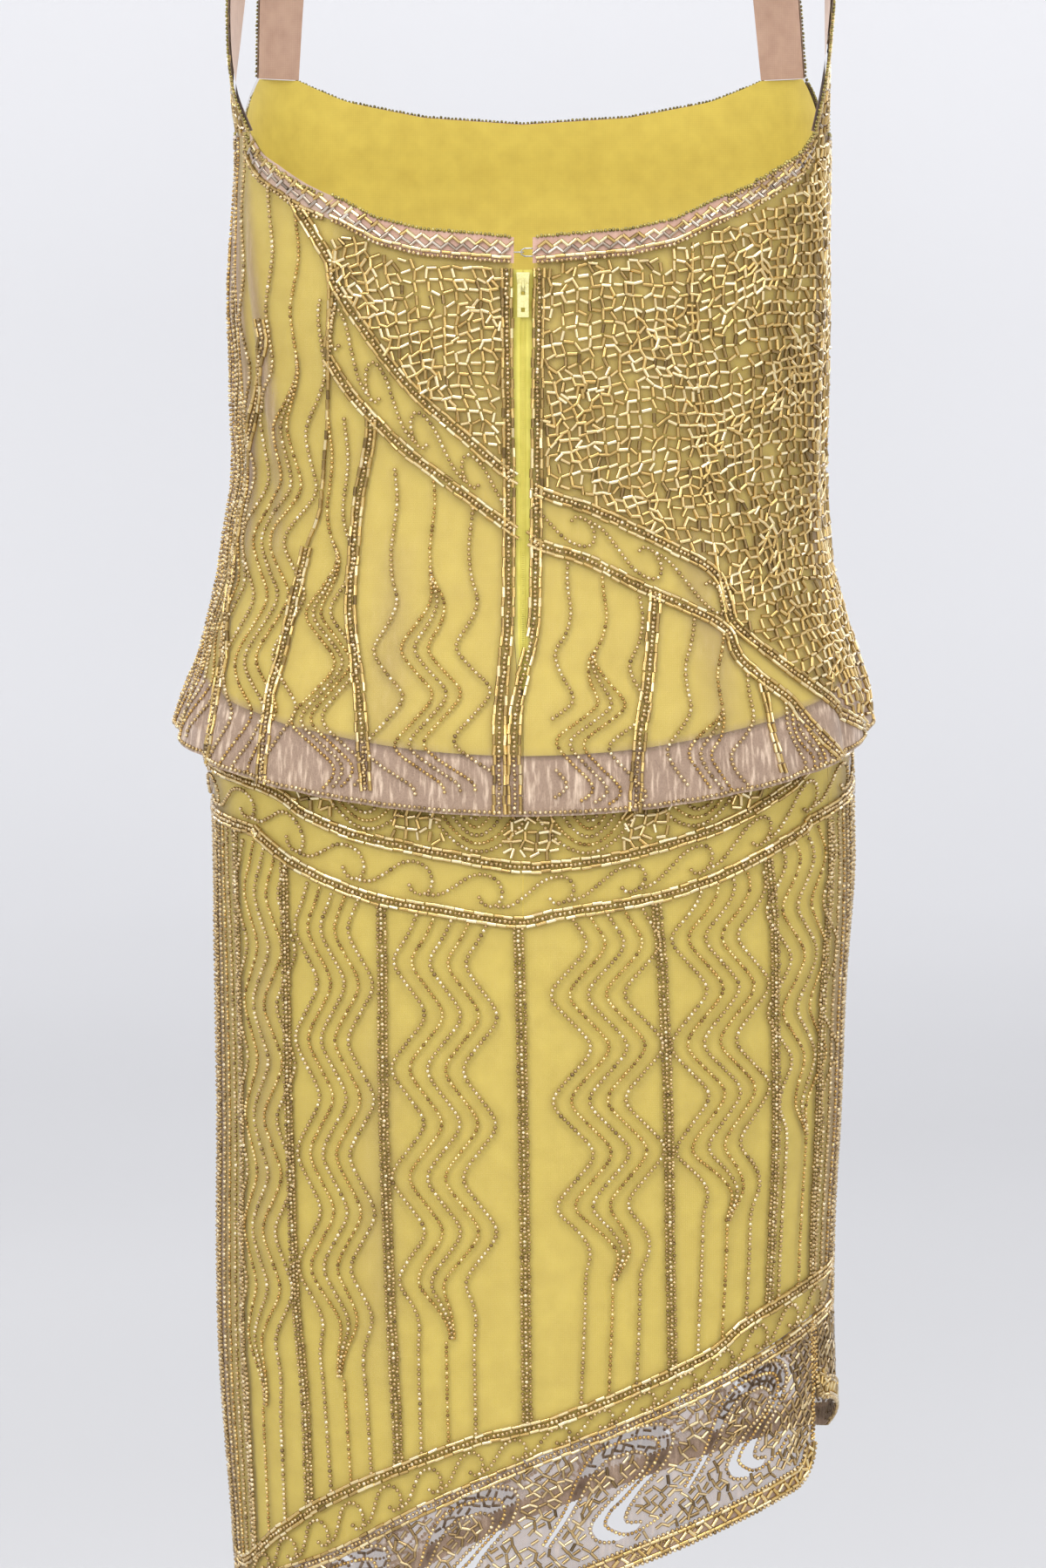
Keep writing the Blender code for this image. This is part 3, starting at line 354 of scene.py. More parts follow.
class Cloth:
    """A tube of net with flat places on it: metres round from the centre back, and height."""

    def __init__(self, form, sections, level):
        self.form, self.sections = form, sections
        self.turns = np.linspace(-270, 270, 2161)
        self.round = lengths(ring(sections, self.turns, np.full_like(self.turns, level)))
        self.round -= np.interp(0, self.turns, self.round)

    def turned(self, flat, face=1):
        """Degrees and height. Face -1 is the mirror image on the dress's front."""
        degrees = np.interp(flat[:, 0], self.round, self.turns)
        return (degrees if face > 0 else 180 - degrees), flat[:, 1]

    def place(self, flat, face=1, lift=0.0):
        """Points and outward directions."""
        degrees, z = self.turned(flat, face)
        normals = normals_of(self.form, degrees, z)
        return self.form(degrees, z) + normals * lift, normals

    def seen(self, spots):
        """The flat places at these pixels of the 1200 x 1799 frame, on the dress's back."""
        spots = np.asarray(spots, float)
        scale = VIEW["pixel"] / VIEW["distance"]
        across = (spots[:, 0] - VIEW["width"] / 2) * scale
        up = (VIEW["height"] / 2 - spots[:, 1]) * scale
        sin, cos = math.sin(VIEW["down"]), math.cos(VIEW["down"])
        eye_y, eye_z = -VIEW["distance"] * cos, VIEW["target"] + VIEW["distance"] * sin
        y = np.full(len(spots), -0.11)  # a first guess, which each round betters
        for _ in range(12):
            reach = (y - eye_y) / (cos + up * sin)
            x, z = reach * across, eye_z + reach * (up * cos - sin)
            left, right, back, _, power = smooth(self.sections, z).T
            share = np.clip(x / np.where(x > 0, right, left), -0.9995, 0.9995)
            depth = (1 - np.abs(share) ** power) ** (1 / power)
            y = -back * depth
        degrees = np.degrees(np.arctan2(share, depth))
        return np.column_stack([np.interp(degrees, self.turns, self.round), z])

    def line(self, spots):
        """A smooth flat line through these pixels."""
        return curve(self.seen(spots))

    def around(self, degrees):
        return np.interp(degrees, self.turns, self.round)


class Lace(Cloth):
    """The lace hem. Its flat places are metres along the hem, and height from the lined hem."""

    def turned(self, flat, face=1):
        degrees = 360 * flat[:, 0] / HEM_GIRTH
        return degrees, lined_hem(degrees) + flat[:, 1]


BODICE = Cloth(bodice_form, BODICE_SECTIONS, -0.41)
SKIRT = Cloth(skirt_form, SKIRT_TABLE, -0.80)
LACE = Lace(skirt_form, SKIRT_TABLE, -0.98)

# ---- materials -------------------------------------------------------------------------------


class Shader:
    """A Principled material and short ways to add nodes to it."""

    def __init__(self, name, **settings):
        self.material = bpy.data.materials.new(name)
        self.material.use_nodes = True
        self.tree = self.material.node_tree
        self.surface = self.tree.nodes["Principled BSDF"]
        for socket, value in settings.items():
            self.surface.inputs[socket.replace("_", " ")].default_value = value

    def node(self, kind, **settings):
        node = self.tree.nodes.new(kind)
        for key, value in settings.items():
            setattr(node, key, value)
        return node

    def link(self, start, end):
        self.tree.links.new(start, end)

    def where(self):
        return self.node("ShaderNodeTexCoord").outputs["Object"]

    def noise(self, scale, detail=3.0, stretch=None):
        noise = self.node("ShaderNodeTexNoise")
        noise.inputs["Scale"].default_value = scale
        noise.inputs["Detail"].default_value = detail
        place = self.where()
        if stretch:
            mapping = self.node("ShaderNodeMapping")
            mapping.inputs["Scale"].default_value = stretch
            self.link(place, mapping.inputs["Vector"])
            place = mapping.outputs["Vector"]
        self.link(place, noise.inputs["Vector"])
        return noise.outputs["Fac"]

    def weave(self, spacing, angle):
        """Threads of a weave, as a value that swings from 0 to 1."""
        mapping = self.node("ShaderNodeMapping")
        mapping.inputs["Rotation"].default_value = (0, math.radians(angle), 0)
        self.link(self.where(), mapping.inputs["Vector"])
        wave = self.node("ShaderNodeTexWave", bands_direction="X")
        wave.inputs["Scale"].default_value = 0.314 / spacing
        wave.inputs["Distortion"].default_value = 0.6
        wave.inputs["Detail Scale"].default_value = 3.0
        self.link(mapping.outputs["Vector"], wave.inputs["Vector"])
        return wave.outputs["Fac"]

    def math(self, operation, a, b=None, c=None):
        node = self.node("ShaderNodeMath", operation=operation)
        for socket, value in zip(node.inputs, (a, b, c)):
            if value is None:
                continue
            if isinstance(value, (int, float)):
                socket.default_value = value
            else:
                self.link(value, socket)
        return node.outputs[0]

    def ramp(self, value, stops):
        ramp = self.node("ShaderNodeValToRGB")
        while len(ramp.color_ramp.elements) < len(stops):
            ramp.color_ramp.elements.new(0.5)
        for element, (place, colour) in zip(ramp.color_ramp.elements, stops):
            element.position = place
            element.color = (*colour, 1)
        self.link(value, ramp.inputs["Fac"])
        return ramp.outputs["Color"]

    def bump(self, value, strength, distance):
        bump = self.node("ShaderNodeBump")
        bump.inputs["Strength"].default_value = strength
        bump.inputs["Distance"].default_value = distance
        self.link(value, bump.inputs["Height"])
        self.link(bump.outputs["Normal"], self.surface.inputs["Normal"])

    def attribute(self, name):
        return self.node("ShaderNodeAttribute", attribute_name=name).outputs["Fac"]

    def set(self, socket, value):
        self.link(value, self.surface.inputs[socket])


def net_material(name):
    """Sheer net, with painted sheen in light streaks where its cover is high. Its cover, from 0 to 1, is a
    value on the mesh.
    """
    shader = Shader(name, Roughness=0.75, Sheen_Weight=0.25, Sheen_Roughness=0.5)
    fleck = shader.noise(1500, 2)
    # Painted sheen: stretched noise lightens the net's colour in streaks, most where its cover is high,
    # like light on crinkles.
    painted_sheen_streaks = shader.noise(1, 3, stretch=(420, 420, 60))
    painted_sheen_streaks = shader.math("MULTIPLY", shader.math("SUBTRACT", painted_sheen_streaks, 0.50), shader.attribute("cover"))
    painted_sheen = shader.math("MAXIMUM", shader.math("MULTIPLY", painted_sheen_streaks, 3.2), 0.0)
    tone_and_painted_sheen = shader.math("ADD", shader.math("MULTIPLY", fleck, 0.5), painted_sheen)
    shader.set("Base Color", shader.ramp(tone_and_painted_sheen, (
        (0.12, (0.280, 0.185, 0.130)), (0.36, (0.450, 0.315, 0.225)), (0.9, (0.760, 0.590, 0.440)))))
    threads = shader.math("MAXIMUM", shader.weave(0.0006, 38), shader.weave(0.0006, -38))
    uneven = shader.math("MULTIPLY_ADD", shader.noise(45, 3), 0.36, 0.82)
    cover = shader.math("MULTIPLY", shader.attribute("cover"), uneven)
    texture = shader.math("MULTIPLY_ADD", threads, 0.45, 0.72)
    shader.set("Alpha", shader.math("MINIMUM", shader.math("MULTIPLY", cover, texture), 0.97))
    shader.bump(threads, 0.25, 0.0003)
    return shader.material


def cloth_material(name, dark, light, spacing, roughness, sheen):
    shader = Shader(name, Roughness=roughness, Sheen_Weight=sheen, Sheen_Roughness=0.4)
    cross = shader.math("MULTIPLY", shader.weave(spacing, 0), shader.weave(spacing, 90))
    mottled = shader.math("MULTIPLY_ADD", cross, 0.25, shader.math("MULTIPLY", shader.noise(90, 4), 0.9))
    shader.set("Base Color", shader.ramp(mottled, ((0.2, dark), (0.75, light))))
    shader.bump(cross, 0.2, 0.0002)
    return shader.material


def bead_material(name, dark, middle, light, share, metallic, roughness):
    """Lined glass. Each bead's colour comes from one value on the mesh, from 0 to 1: its own tone, with
    painted shade low down and painted glints and highlights on it.
    """
    shader = Shader(
        name, Metallic=metallic, Roughness=roughness, Coat_Weight=0.6, Coat_Roughness=0.06
    )
    tone_and_painted_light = shader.attribute("tone_and_painted_light")
    # The value on the mesh holds the bead's tone with painted shade and painted highlights, plus fine
    # random flecks.
    flecked_with_painted_light = shader.math("MULTIPLY_ADD", shader.noise(900, 1), 0.16, shader.math("ADD", tone_and_painted_light, -0.08))
    shader.set("Base Color", shader.ramp(flecked_with_painted_light, ((0, dark), (share, middle), (1, light))))
    return shader.material


def metal_material(name, dark, light, metallic, roughness):
    """Metal with a worn, faintly scratched surface."""
    shader = Shader(name, Metallic=metallic, Coat_Weight=0.25, Coat_Roughness=0.15)
    wear = shader.noise(900, 5)
    shader.set("Base Color", shader.ramp(wear, ((0.35, dark), (0.6, light))))
    scratches = shader.noise(1, 4, stretch=(2400, 2400, 300))
    shader.set("Roughness", shader.math("MULTIPLY_ADD", scratches, 0.3, roughness))
    shader.bump(wear, 0.15, 0.0002)
    return shader.material


# Dark and light colours, metallic and roughness.
METALS = {
    "zip_metal": ((0.690, 0.630, 0.250), (0.800, 0.740, 0.340), 0.20, 0.22),
    "steel": ((0.330, 0.320, 0.300), (0.640, 0.630, 0.610), 0.95, 0.16),
}
# Dark and light colours, spacing of the threads, roughness and sheen.
CLOTHS = {
    "lining": ((0.620, 0.470, 0.075), (0.755, 0.600, 0.105), 0.0009, 0.62, 0.2),
    "facing": ((0.440, 0.265, 0.190), (0.600, 0.395, 0.295), 0.0009, 0.6, 0.4),
    "neckband": ((0.480, 0.270, 0.195), (0.650, 0.420, 0.320), 0.0008, 0.5, 0.4),
    "edge_band": ((0.420, 0.290, 0.220), (0.600, 0.440, 0.345), 0.0010, 0.8, 0.2),
    "zip_tape": ((0.600, 0.520, 0.070), (0.800, 0.710, 0.150), 0.0006, 0.7, 0.2),
}
# Dark, middle and light colours, the middle's place from 0 to 1, metallic and roughness.
GLASS = {
    "champagne": ((0.140, 0.078, 0.022), (0.530, 0.365, 0.150), (1.000, 0.860, 0.580), 0.45, 0.8, 0.22),
    "bronze": ((0.110, 0.062, 0.016), (0.430, 0.285, 0.100), (0.860, 0.650, 0.330), 0.5, 0.75, 0.25),
    "gold": ((0.160, 0.080, 0.015), (0.540, 0.325, 0.080), (1.000, 0.800, 0.380), 0.45, 0.8, 0.2),
    "olive": ((0.120, 0.095, 0.020), (0.340, 0.270, 0.060), (0.640, 0.540, 0.180), 0.5, 0.8, 0.25),
    "bugle": ((0.130, 0.075, 0.020), (0.640, 0.430, 0.135), (1.000, 0.870, 0.530), 0.45, 0.8, 0.18),
    "fine_bugle": ((0.080, 0.045, 0.014), (0.380, 0.250, 0.095), (0.900, 0.730, 0.420), 0.5, 0.8, 0.2),
    "silver_bugle": ((0.140, 0.105, 0.080), (0.440, 0.350, 0.270), (0.950, 0.870, 0.740), 0.45, 0.85, 0.2),
}
MATERIALS = {}
for make, table in (
    (metal_material, METALS), (net_material, {"net": ()}), (cloth_material, CLOTHS), (bead_material, GLASS),
):
    for name, look in table.items():
        MATERIALS[name] = make(name, *look)

# ---- meshes ----------------------------------------------------------------------------------


def put(name, data):
    thing = bpy.data.objects.new(name, data)
    bpy.context.scene.collection.objects.link(thing)
    return thing


def new_object(name, mesh, material):
    mesh.materials.append(MATERIALS[material])
    thing = put(name, mesh)
    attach(thing, BODY)
    return thing


def set_value(mesh, name, values):
    layer = mesh.attributes.new(name, "FLOAT", "POINT")
    layer.data.foreach_set("value", np.asarray(values, np.float32))


def grid_mesh(name, grid, cover=None):
    """A sheet from points in columns that run round towards +X, each with its rows downwards."""
    columns, rows = grid.shape[:2]
    i, j = np.meshgrid(np.arange(columns - 1), np.arange(rows - 1), indexing="ij")
    first = (i * rows + j).ravel()
    faces = np.stack([first, first + 1, first + rows + 1, first + rows], -1)
    mesh = bpy.data.meshes.new(name)
    mesh.from_pydata(grid.reshape(-1, 3).tolist(), [], faces.tolist())
    mesh.shade_smooth()
    if cover is not None:
        set_value(mesh, "cover", cover.ravel())
    return mesh


def state_sheet(grid):
    """Works out the width and length of a sheet's cut, from its grid's longest row and column, and keeps
    neither.
    """
    across = np.linalg.norm(np.diff(grid, axis=0), axis=2).sum(0).max()
    down = np.linalg.norm(np.diff(grid, axis=1), axis=2).sum(1).max()
    across, down = max(0.01, round(float(across), 3)), max(0.01, round(float(down), 3))


def between(tops, bottoms, rows):
    """Heights of evenly spaced rows between two edges, for each column."""
    return tops[:, None] + (bottoms - tops)[:, None] * np.linspace(0, 1, rows)


def sheet_grid(form, degrees, z, lift=0.0):
    """A grid of points at these degrees and heights, moved out by the lift."""
    flat_degrees, flat_z = degrees.ravel().astype(float), z.ravel()
    points = form(flat_degrees, flat_z)
    if lift:
        points = points + normals_of(form, flat_degrees, flat_z) * lift
    return points.reshape(*z.shape, 3)


# ---- the bodice's and the skirt's cloth ------------------------------------------------------

COLUMN = 1.0  # degrees between columns of the net


def opened(places, z, opening, side):
    """Degrees with the columns moved up beside the opening at the centre back."""
    half = np.interp(z, opening[:, 0], opening[:, 1])
    right = smooth(BODICE_SECTIONS, z.ravel())[:, 1].reshape(z.shape)
    start = np.degrees(np.arcsin(half / right))
    return side * (start + (places[-1] - start) * places[:, None] / places[-1])


# How much the bodice's and the skirt's net hide where they lie flat, on the creases and at the
# sides, and the bodice's also below the lattice and where it hangs unlined.
BODICE_NET = {"flat": 0.20, "crease": 0.4, "side": 0.34, "lattice": 0.03, "unlined": 0.93}
SKIRT_NET = {"flat": 0.16, "crease": 0.24, "side": 0.30, "most": 0.9}


def bodice_cover(degrees, z):
    """How much of the lining the bodice's net hides: the unlined hem and the folded sides most."""
    cover = np.full(z.shape, BODICE_NET["flat"])
    flat_degrees, flat_z = degrees.ravel(), z.ravel()
    ridges = np.clip(creased(BODICE_CREASES, flat_degrees, flat_z) / 0.0022, 0, 1).reshape(z.shape)
    cover += BODICE_NET["crease"] * ridges
    from_side = np.abs(np.abs(away(degrees, 0)) - 90)
    left = np.where(away(degrees, 0) < 0, 1.0, 0.55)
    cover += BODICE_NET["side"] * left * (1 - ease(8, 30, from_side)) * ease(-0.60, -0.40, z)
    turns = np.where(np.cos(np.radians(flat_degrees)) > 0, flat_degrees, 180 - flat_degrees)
    flat = np.column_stack([BODICE.around(away(turns, 0)), flat_z])
    closer = ease(-0.003, 0.003, flat_z - height_on(BODICE_DIAGONAL, flat)) * (flat[:, 0] > LATTICE_START)
    cover += BODICE_NET["lattice"] * closer.reshape(z.shape)
    unlined = ease(-0.002, 0.002, swing(LINING_HEM, flat_degrees).reshape(z.shape) - z)
    most = BODICE_NET["unlined"]
    return np.clip(np.maximum(cover, most * unlined), 0, most)


LAYERS = (("net", BODICE_HEM, 76, 0), ("lining", LINING_HEM, 40, -NET - LAYER_GAP))


def make_bodice():
    """Net and lining of the three bodice panels."""
    seam = math.degrees(SEAM_GAP / 2 / 0.1)
    for side, hand in ((-1, "left"), (1, "right")):
        places = np.arange(0, 90 - seam, COLUMN)
        for layer, hem, rows, lift in LAYERS:
            columns = np.append(places if layer == "net" else places[::2], 90 - seam)
            z = between(top_edge(columns), swing(hem, columns), rows)
            degrees = opened(columns, z, OPENING if layer == "net" else LINING_OPENING, side)
            if side < 0:
                degrees, z = degrees[::-1], z[::-1]
            add_panel(f"bodice_back_{hand}", layer, bodice_form, degrees, z, lift, bodice_cover)
    places = np.append(np.arange(90 + seam, 270 - seam, COLUMN), 270 - seam)
    for layer, hem, rows, lift in LAYERS:
        columns = places if layer == "net" else np.append(places[:-1:2], places[-1])
        z = between(top_edge(columns), swing(hem, columns), rows)
        degrees = np.broadcast_to(columns[:, None], z.shape)
        add_panel("bodice_front", layer, bodice_form, degrees, z, lift, bodice_cover)


def add_panel(panel, layer, form, degrees, z, lift, cover):
    """One layer of a panel, in place of the solid of the same panel."""
    grid = sheet_grid(form, degrees, z, lift)
    lined = layer == "lining"
    node = panel.replace("_", "_lining_", 1) if lined else panel
    name = f"{layer}_{panel}"
    mesh = grid_mesh(name, grid, None if lined else cover(degrees, z))
    thing = new_object(name, mesh, layer)
    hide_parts(node)
    state_sheet(grid)


def skirt_cover(degrees, z):
    ridges = np.clip(creased(SKIRT_CREASES, degrees.ravel(), z.ravel()) / 0.0018, 0, 1).reshape(z.shape)
    sides = 1 - ease(2, 24, np.abs(np.abs(away(degrees, 0)) - 82))
    cover = SKIRT_NET["flat"] + SKIRT_NET["crease"] * ridges + SKIRT_NET["side"] * sides
    return np.clip(cover, 0, SKIRT_NET["most"])


def make_skirt():
    seam = math.degrees(SEAM_GAP / 2 / 0.12)
    nets = (
        ("skirt_back_left", SKIRT_SEAM_LEFT + seam, -seam),
        ("skirt_back_right", seam, SKIRT_SEAM_RIGHT - seam),
        ("skirt_front", SKIRT_SEAM_RIGHT + seam, 360 + SKIRT_SEAM_LEFT - seam),
    )
    for name, start, end in nets:
        skirt_panel(name, "net", start, end, 1.5, 84, 0)
    for name, start, end in (
        ("skirt_back", SKIRT_SEAM_LEFT + seam, SKIRT_SEAM_RIGHT - seam),
        ("skirt_front", SKIRT_SEAM_RIGHT + seam, 360 + SKIRT_SEAM_LEFT - seam),
    ):
        skirt_panel(name, "lining", start, end, 2.2, 60, -NET - LAYER_GAP)


def skirt_panel(name, layer, start, end, step, rows, lift):
    columns = np.linspace(start, end, max(3, round((end - start) / step)))
    z = between(np.full_like(columns, WAIST_JOIN), lined_hem(columns) + SEAM_GAP, rows)
    degrees = np.broadcast_to(columns[:, None], z.shape)
    add_panel(name, layer, skirt_form, degrees, z, lift, skirt_cover)


# ---- straps and bands ------------------------------------------------------------------------

STRAP_ACROSS, STRAP_ALONG = 9, 90


def strap_edges(side):
    """Rows of the strap's neck edge and arm edge, from the back seam to the front seam."""
    rows = []
    for seam in (STRAP_BACK, STRAP_FRONT):
        turns = np.array(seam)
        ends = bodice_form(side * turns, top_edge(turns) + SEAM_GAP)
        rows.append([*ends[0], *ends[1]])
    middle = [
        (side * (xr if side > 0 else xl), y, z, side * (ar if side > 0 else al), ay, az)
        for z, xl, xr, y, al, ar, ay, az in STRAP_STATIONS
    ]
    return np.array([rows[0], *middle, rows[1]])


def strap_points(side, across, along):
    """Points at shares across (0 at the neck edge) and along (0 at the back seam) a strap."""
    edges = strap_edges(side)
    at = through(edges, np.asarray(along) * (len(edges) - 1))
    across = np.asarray(across)[:, None]
    return at[:, :3] * (1 - across) + at[:, 3:] * across


def strap_normals(side, across, along):
    step = 0.004
    arm_edge, neck_edge = (strap_points(side, np.full_like(along, share), along) for share in (1, 0))
    run = strap_points(side, across, along + step) - strap_points(side, across, along - step)
    return unit(np.cross(arm_edge - neck_edge, run) * side)


def strap_sheet(name, side, lift, material, node, cover):
    across = np.linspace(0, 1, STRAP_ACROSS)
    along = np.linspace(0, 1, STRAP_ALONG)
    a, b = (v.ravel() for v in np.meshgrid(across, along, indexing="ij"))
    points = strap_points(side, a, b) + strap_normals(side, a, b) * lift
    grid = points.reshape(STRAP_ACROSS, STRAP_ALONG, 3)[:, ::-1]
    grid = grid if side > 0 else grid[::-1]
    values = np.full(grid.shape[:2], cover)
    thing = new_object(name, grid_mesh(name, grid, values), material)
    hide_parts(node)
    state_sheet(grid)


def make_straps():
    for side, hand in ((-1, "left"), (1, "right")):
        strap_sheet(f"strap_shell_{hand}", side, 0, "net", f"strap_{hand}", 0.9)
        facing = f"strap_facing_{hand}"
        strap_sheet(f"strap_lining_{hand}", side, -NET - SEAM_GAP, "facing", facing, 1.0)


def band_strip(name, turns, node=None):
    """A neckband on the bodice's top edge, or with no node, the beadwork's dark part on the net."""
    tops = top_edge(turns) - (0 if node else 0.0004)
    bottoms = tops - NECKBAND_HEIGHT + (0 if node else 0.0008)
    lift = SEAM_GAP + TRIM if node else 0.0004
    degrees = np.broadcast_to(turns[:, None], (len(turns), 7))
    grid = sheet_grid(bodice_form, degrees, between(tops, bottoms, 7), lift)
    thing = new_object(name, grid_mesh(name, grid), "neckband" if node else "edge_band")
    if node:
        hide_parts(node)
    state_sheet(grid)


def make_neckbands():
    edge = NECK_OPENING
    end, strap, front = BACK_NECKBAND_END, STRAP_BACK[0], STRAP_FRONT[0]
    band_strip("band_neck_back_right", np.linspace(edge, end, 34), "neckband_back_right")
    band_strip("band_neck_back_left", np.linspace(-end, -edge, 34), "neckband_back_left")
    band_strip("band_side_right", np.linspace(end, strap, 26))
    band_strip("band_side_left", np.linspace(-strap, -end, 26))
    band_strip("band_neck_front", np.linspace(front, 360 - front, 70), "neckband_front")


# ---- lace ------------------------------------------------------------------------------------

LACE_CELL = 0.0075
SLOT_POINTS = 23
LACE_COVER = 0.50  # of the net


def lace_depth(along, slit, depth_at_slit):
    near = np.clip(1 - np.abs(along - slit) / SLIT_REACH, 0, 1)
    return LACE_DEPTH + (depth_at_slit - LACE_DEPTH) * near


def lace_pieces():
    """Name, ends along the hem, slit, depth at the slit and loops of the two pieces of lace."""
    seam = SEAM_GAP / 2
    slit = SKIRT_SEAM_RIGHT / 360 * HEM_GIRTH
    left = SKIRT_SEAM_LEFT / 360 * HEM_GIRTH
    return (
        ("back", left + seam, slit - seam, slit - seam, LACE_DEPTH_SLIT, BACK_LOOPS),
        ("front", slit + seam, HEM_GIRTH + left - seam, slit + seam, LACE_DEPTH_FRONT_SLIT, FRONT_LOOPS),
    )


def lace_bottom(start, end, slit, depth_at_slit):
    """The bottom edge and the rounded corner at the slit, as flat places in order of along."""
    way = 1 if slit == end else -1
    corner = slit - way * CORNER_RADIUS
    low = CORNER_RADIUS - lace_depth(corner, slit, depth_at_slit)
    u = np.linspace(start, corner, 90) if way > 0 else np.linspace(corner, end, 90)
    bottom = np.column_stack([u, -lace_depth(u, slit, depth_at_slit)])
    angle = np.linspace(0, math.pi / 2, 12)[1:]
    arc = np.column_stack([
        corner + way * CORNER_RADIUS * np.sin(angle), low - CORNER_RADIUS * np.cos(angle)
    ])
    return np.vstack([bottom, arc]) if way > 0 else np.vstack([arc[::-1], bottom])


def slot_loops(loops):
    """The gaps of the lace: between the gold line and the rows of beads above and below it."""
    found = []
    flank = (FLANK_GOLD[:-1] + GOLD_LINE, FLANK_LOWER[:-1] + LOWER_ROW)
    for at in loops:
        for first, second in ((GOLD_LINE, UPPER_ROW), flank):
            n = np.linspace(0, len(first) - 1, SLOT_POINTS)
            a, b = through(first, n), through(second, n)
            step = unit(b - a) * BEAD_EDGE
            loop = np.vstack([a + step, (b - step)[::-1]])
            found.append(np.column_stack([at + loop[:, 0], -LACE_TOP - loop[:, 1]]))
    return found


def inside(points, loop):
    """Which of the flat points are inside a closed loop."""
    x, y = points[:, 0][:, None], points[:, 1][:, None]
    ax, ay = loop[:, 0], loop[:, 1]
    bx, by = np.roll(ax, -1), np.roll(ay, -1)
    crossing = (ay > y) != (by > y)
    rise = np.where(by == ay, TINY, by - ay)
    return ((x < ax + (y - ay) * (bx - ax) / rise) & crossing).sum(1) % 2 == 1


def cut_net(outline, slots):
    """Flat places and triangles of a net inside an outline, with slots cut out of it."""
    edges, count = [], 0
    for loop in (outline, *slots):
        edges += [(count + k, count + (k + 1) % len(loop)) for k in range(len(loop))]
        count += len(loop)
    edge_points = np.vstack((outline, *slots))
    start, end = outline[:, 0].min(), outline[:, 0].max()
    u, v = np.meshgrid(np.arange(start, end, LACE_CELL), np.arange(-LACE_CELL, -0.1, -LACE_CELL))
    spots = np.column_stack([u.ravel(), v.ravel()])
    gaps = np.linalg.norm(spots[:, None] - edge_points[None], axis=2).min(1)

    def in_net(places):
        good = inside(places, outline)
        for slot in slots:
            good &= ~inside(places, slot)
        return good

    points = np.vstack([edge_points, spots[(gaps > LACE_CELL / 3) & in_net(spots)]])
    flat, _, faces, *_ = delaunay_2d_cdt([Vector(p) for p in points.tolist()], edges, [], 0, 1e-7)
    flat, faces = np.array(flat), np.array(faces)
    used, faces = np.unique(faces[in_net(flat[faces].mean(1))], return_inverse=True)
    return flat[used], faces.reshape(-1, 3)


def make_lace():
    for name, start, end, slit, depth_at_slit, loops in lace_pieces():
        bottom = lace_bottom(start, end, slit, depth_at_slit)
        top = np.column_stack([np.linspace(end, start, 120), np.zeros(120)])
        flat, faces = cut_net(np.vstack([bottom, top]), slot_loops(loops))
        place, _ = LACE.place(flat)
        mesh = bpy.data.meshes.new(f"lace_net_{name}")
        mesh.from_pydata(place.tolist(), [], faces.tolist())
        mesh.shade_smooth()
        set_value(mesh, "cover", np.full(len(place), LACE_COVER))
        thing = new_object(mesh.name, mesh, "net")
        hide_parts(f"hem_lace_{name}")
        make_lace_edge(name, bottom)


def make_lace_edge(name, bottom):
    """The close beaded band along the bottom edge and the corner."""
    inward = quarter(unit(np.gradient(bottom, axis=0)))
    rows = [bottom + inward * EDGE_BAND * share for share in np.linspace(1, 0, 5)]
    flat = np.stack(rows, 1)
    points, _ = LACE.place(flat.reshape(-1, 2), lift=SEAM_GAP + TRIM / 2)
    grid = points.reshape(*flat.shape[:2], 3)
    mesh = grid_mesh(f"lace_edge_{name}", grid)
    thing = new_object(mesh.name, mesh, "edge_band")
    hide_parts(f"hem_edge_{name}")
    state_sheet(grid)


# ---- zip, hook and eye -----------------------------------------------------------------------


ZIP_LIFT = -(NET + ZIP["gap"])


def make_tapes():
    for side, hand in ((-1, "left"), (1, "right")):
        z = np.linspace(ZIP["top"], ZIP["bottom"], 60)
        width = np.interp(z, LINING_OPENING[:, 0], LINING_OPENING[:, 1]) - SEAM_GAP
        across = ZIP["half_coil"] + (width - ZIP["half_coil"]) * np.linspace(0, 1, 5)[:, None]
        across = across if side > 0 else across[::-1]
        right = smooth(BODICE_SECTIONS, z)[:, 1]
        degrees = side * np.degrees(np.arcsin(across / right))
        grid = sheet_grid(bodice_form, degrees, np.broadcast_to(z, degrees.shape), ZIP_LIFT)
        name = f"tape_{hand}"
        thing = new_object(name, grid_mesh(name, grid), "zip_tape")
        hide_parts(f"zip_tape_{hand}")
        state_sheet(grid)


def finish_metal():
    for node, material in (
        ("zip_slider", "zip_metal"), ("zip_pull_tab", "zip_metal"), ("hook", "steel"), ("eye", "steel"),
    ):
        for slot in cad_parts[node].material_slots:
            slot.material = MATERIALS[material]


COIL = {"start": 0.016, "pitch": 0.0011, "half_width": 0.0017, "height": 0.0007, "half_length": 0.00036}


def make_coil():
    """The zip's closed coil, as short bars across the tape's middle."""
    z = np.arange(ZIP["top"] - COIL["start"], ZIP["bottom"], -COIL["pitch"])
    zeros = np.zeros_like(z)
    normals = normals_of(bodice_form, zeros, z)
    middles = bodice_form(zeros, z) + normals * ZIP_LIFT
    across = np.array([COIL["half_width"], 0, 0])
    down = np.cross([1.0, 0, 0], normals) * COIL["half_length"]
    profile = ((-1, 0), (-0.8, 0.75), (0, 1), (0.8, 0.75), (1, 0))
    points, faces = [], []
    for middle, normal, step in zip(middles, normals, down):
        first = len(points)
        for end in (-1, 1):
            for x, h in profile:
                points.append(middle + across * x + normal * (h * COIL["height"]) + step * end)
        faces += [(first + k, first + k + 1, first + 6 + k, first + 5 + k) for k in range(4)]
        faces += [tuple(first + k for k in range(4, -1, -1)), tuple(first + 5 + k for k in range(5))]
    mesh = bpy.data.meshes.new("zip_coil")
    mesh.from_pydata([tuple(p) for p in points], [], faces)
    new_object("zip_coil", mesh, "zip_tape")


# ---- beads -----------------------------------------------------------------------------------

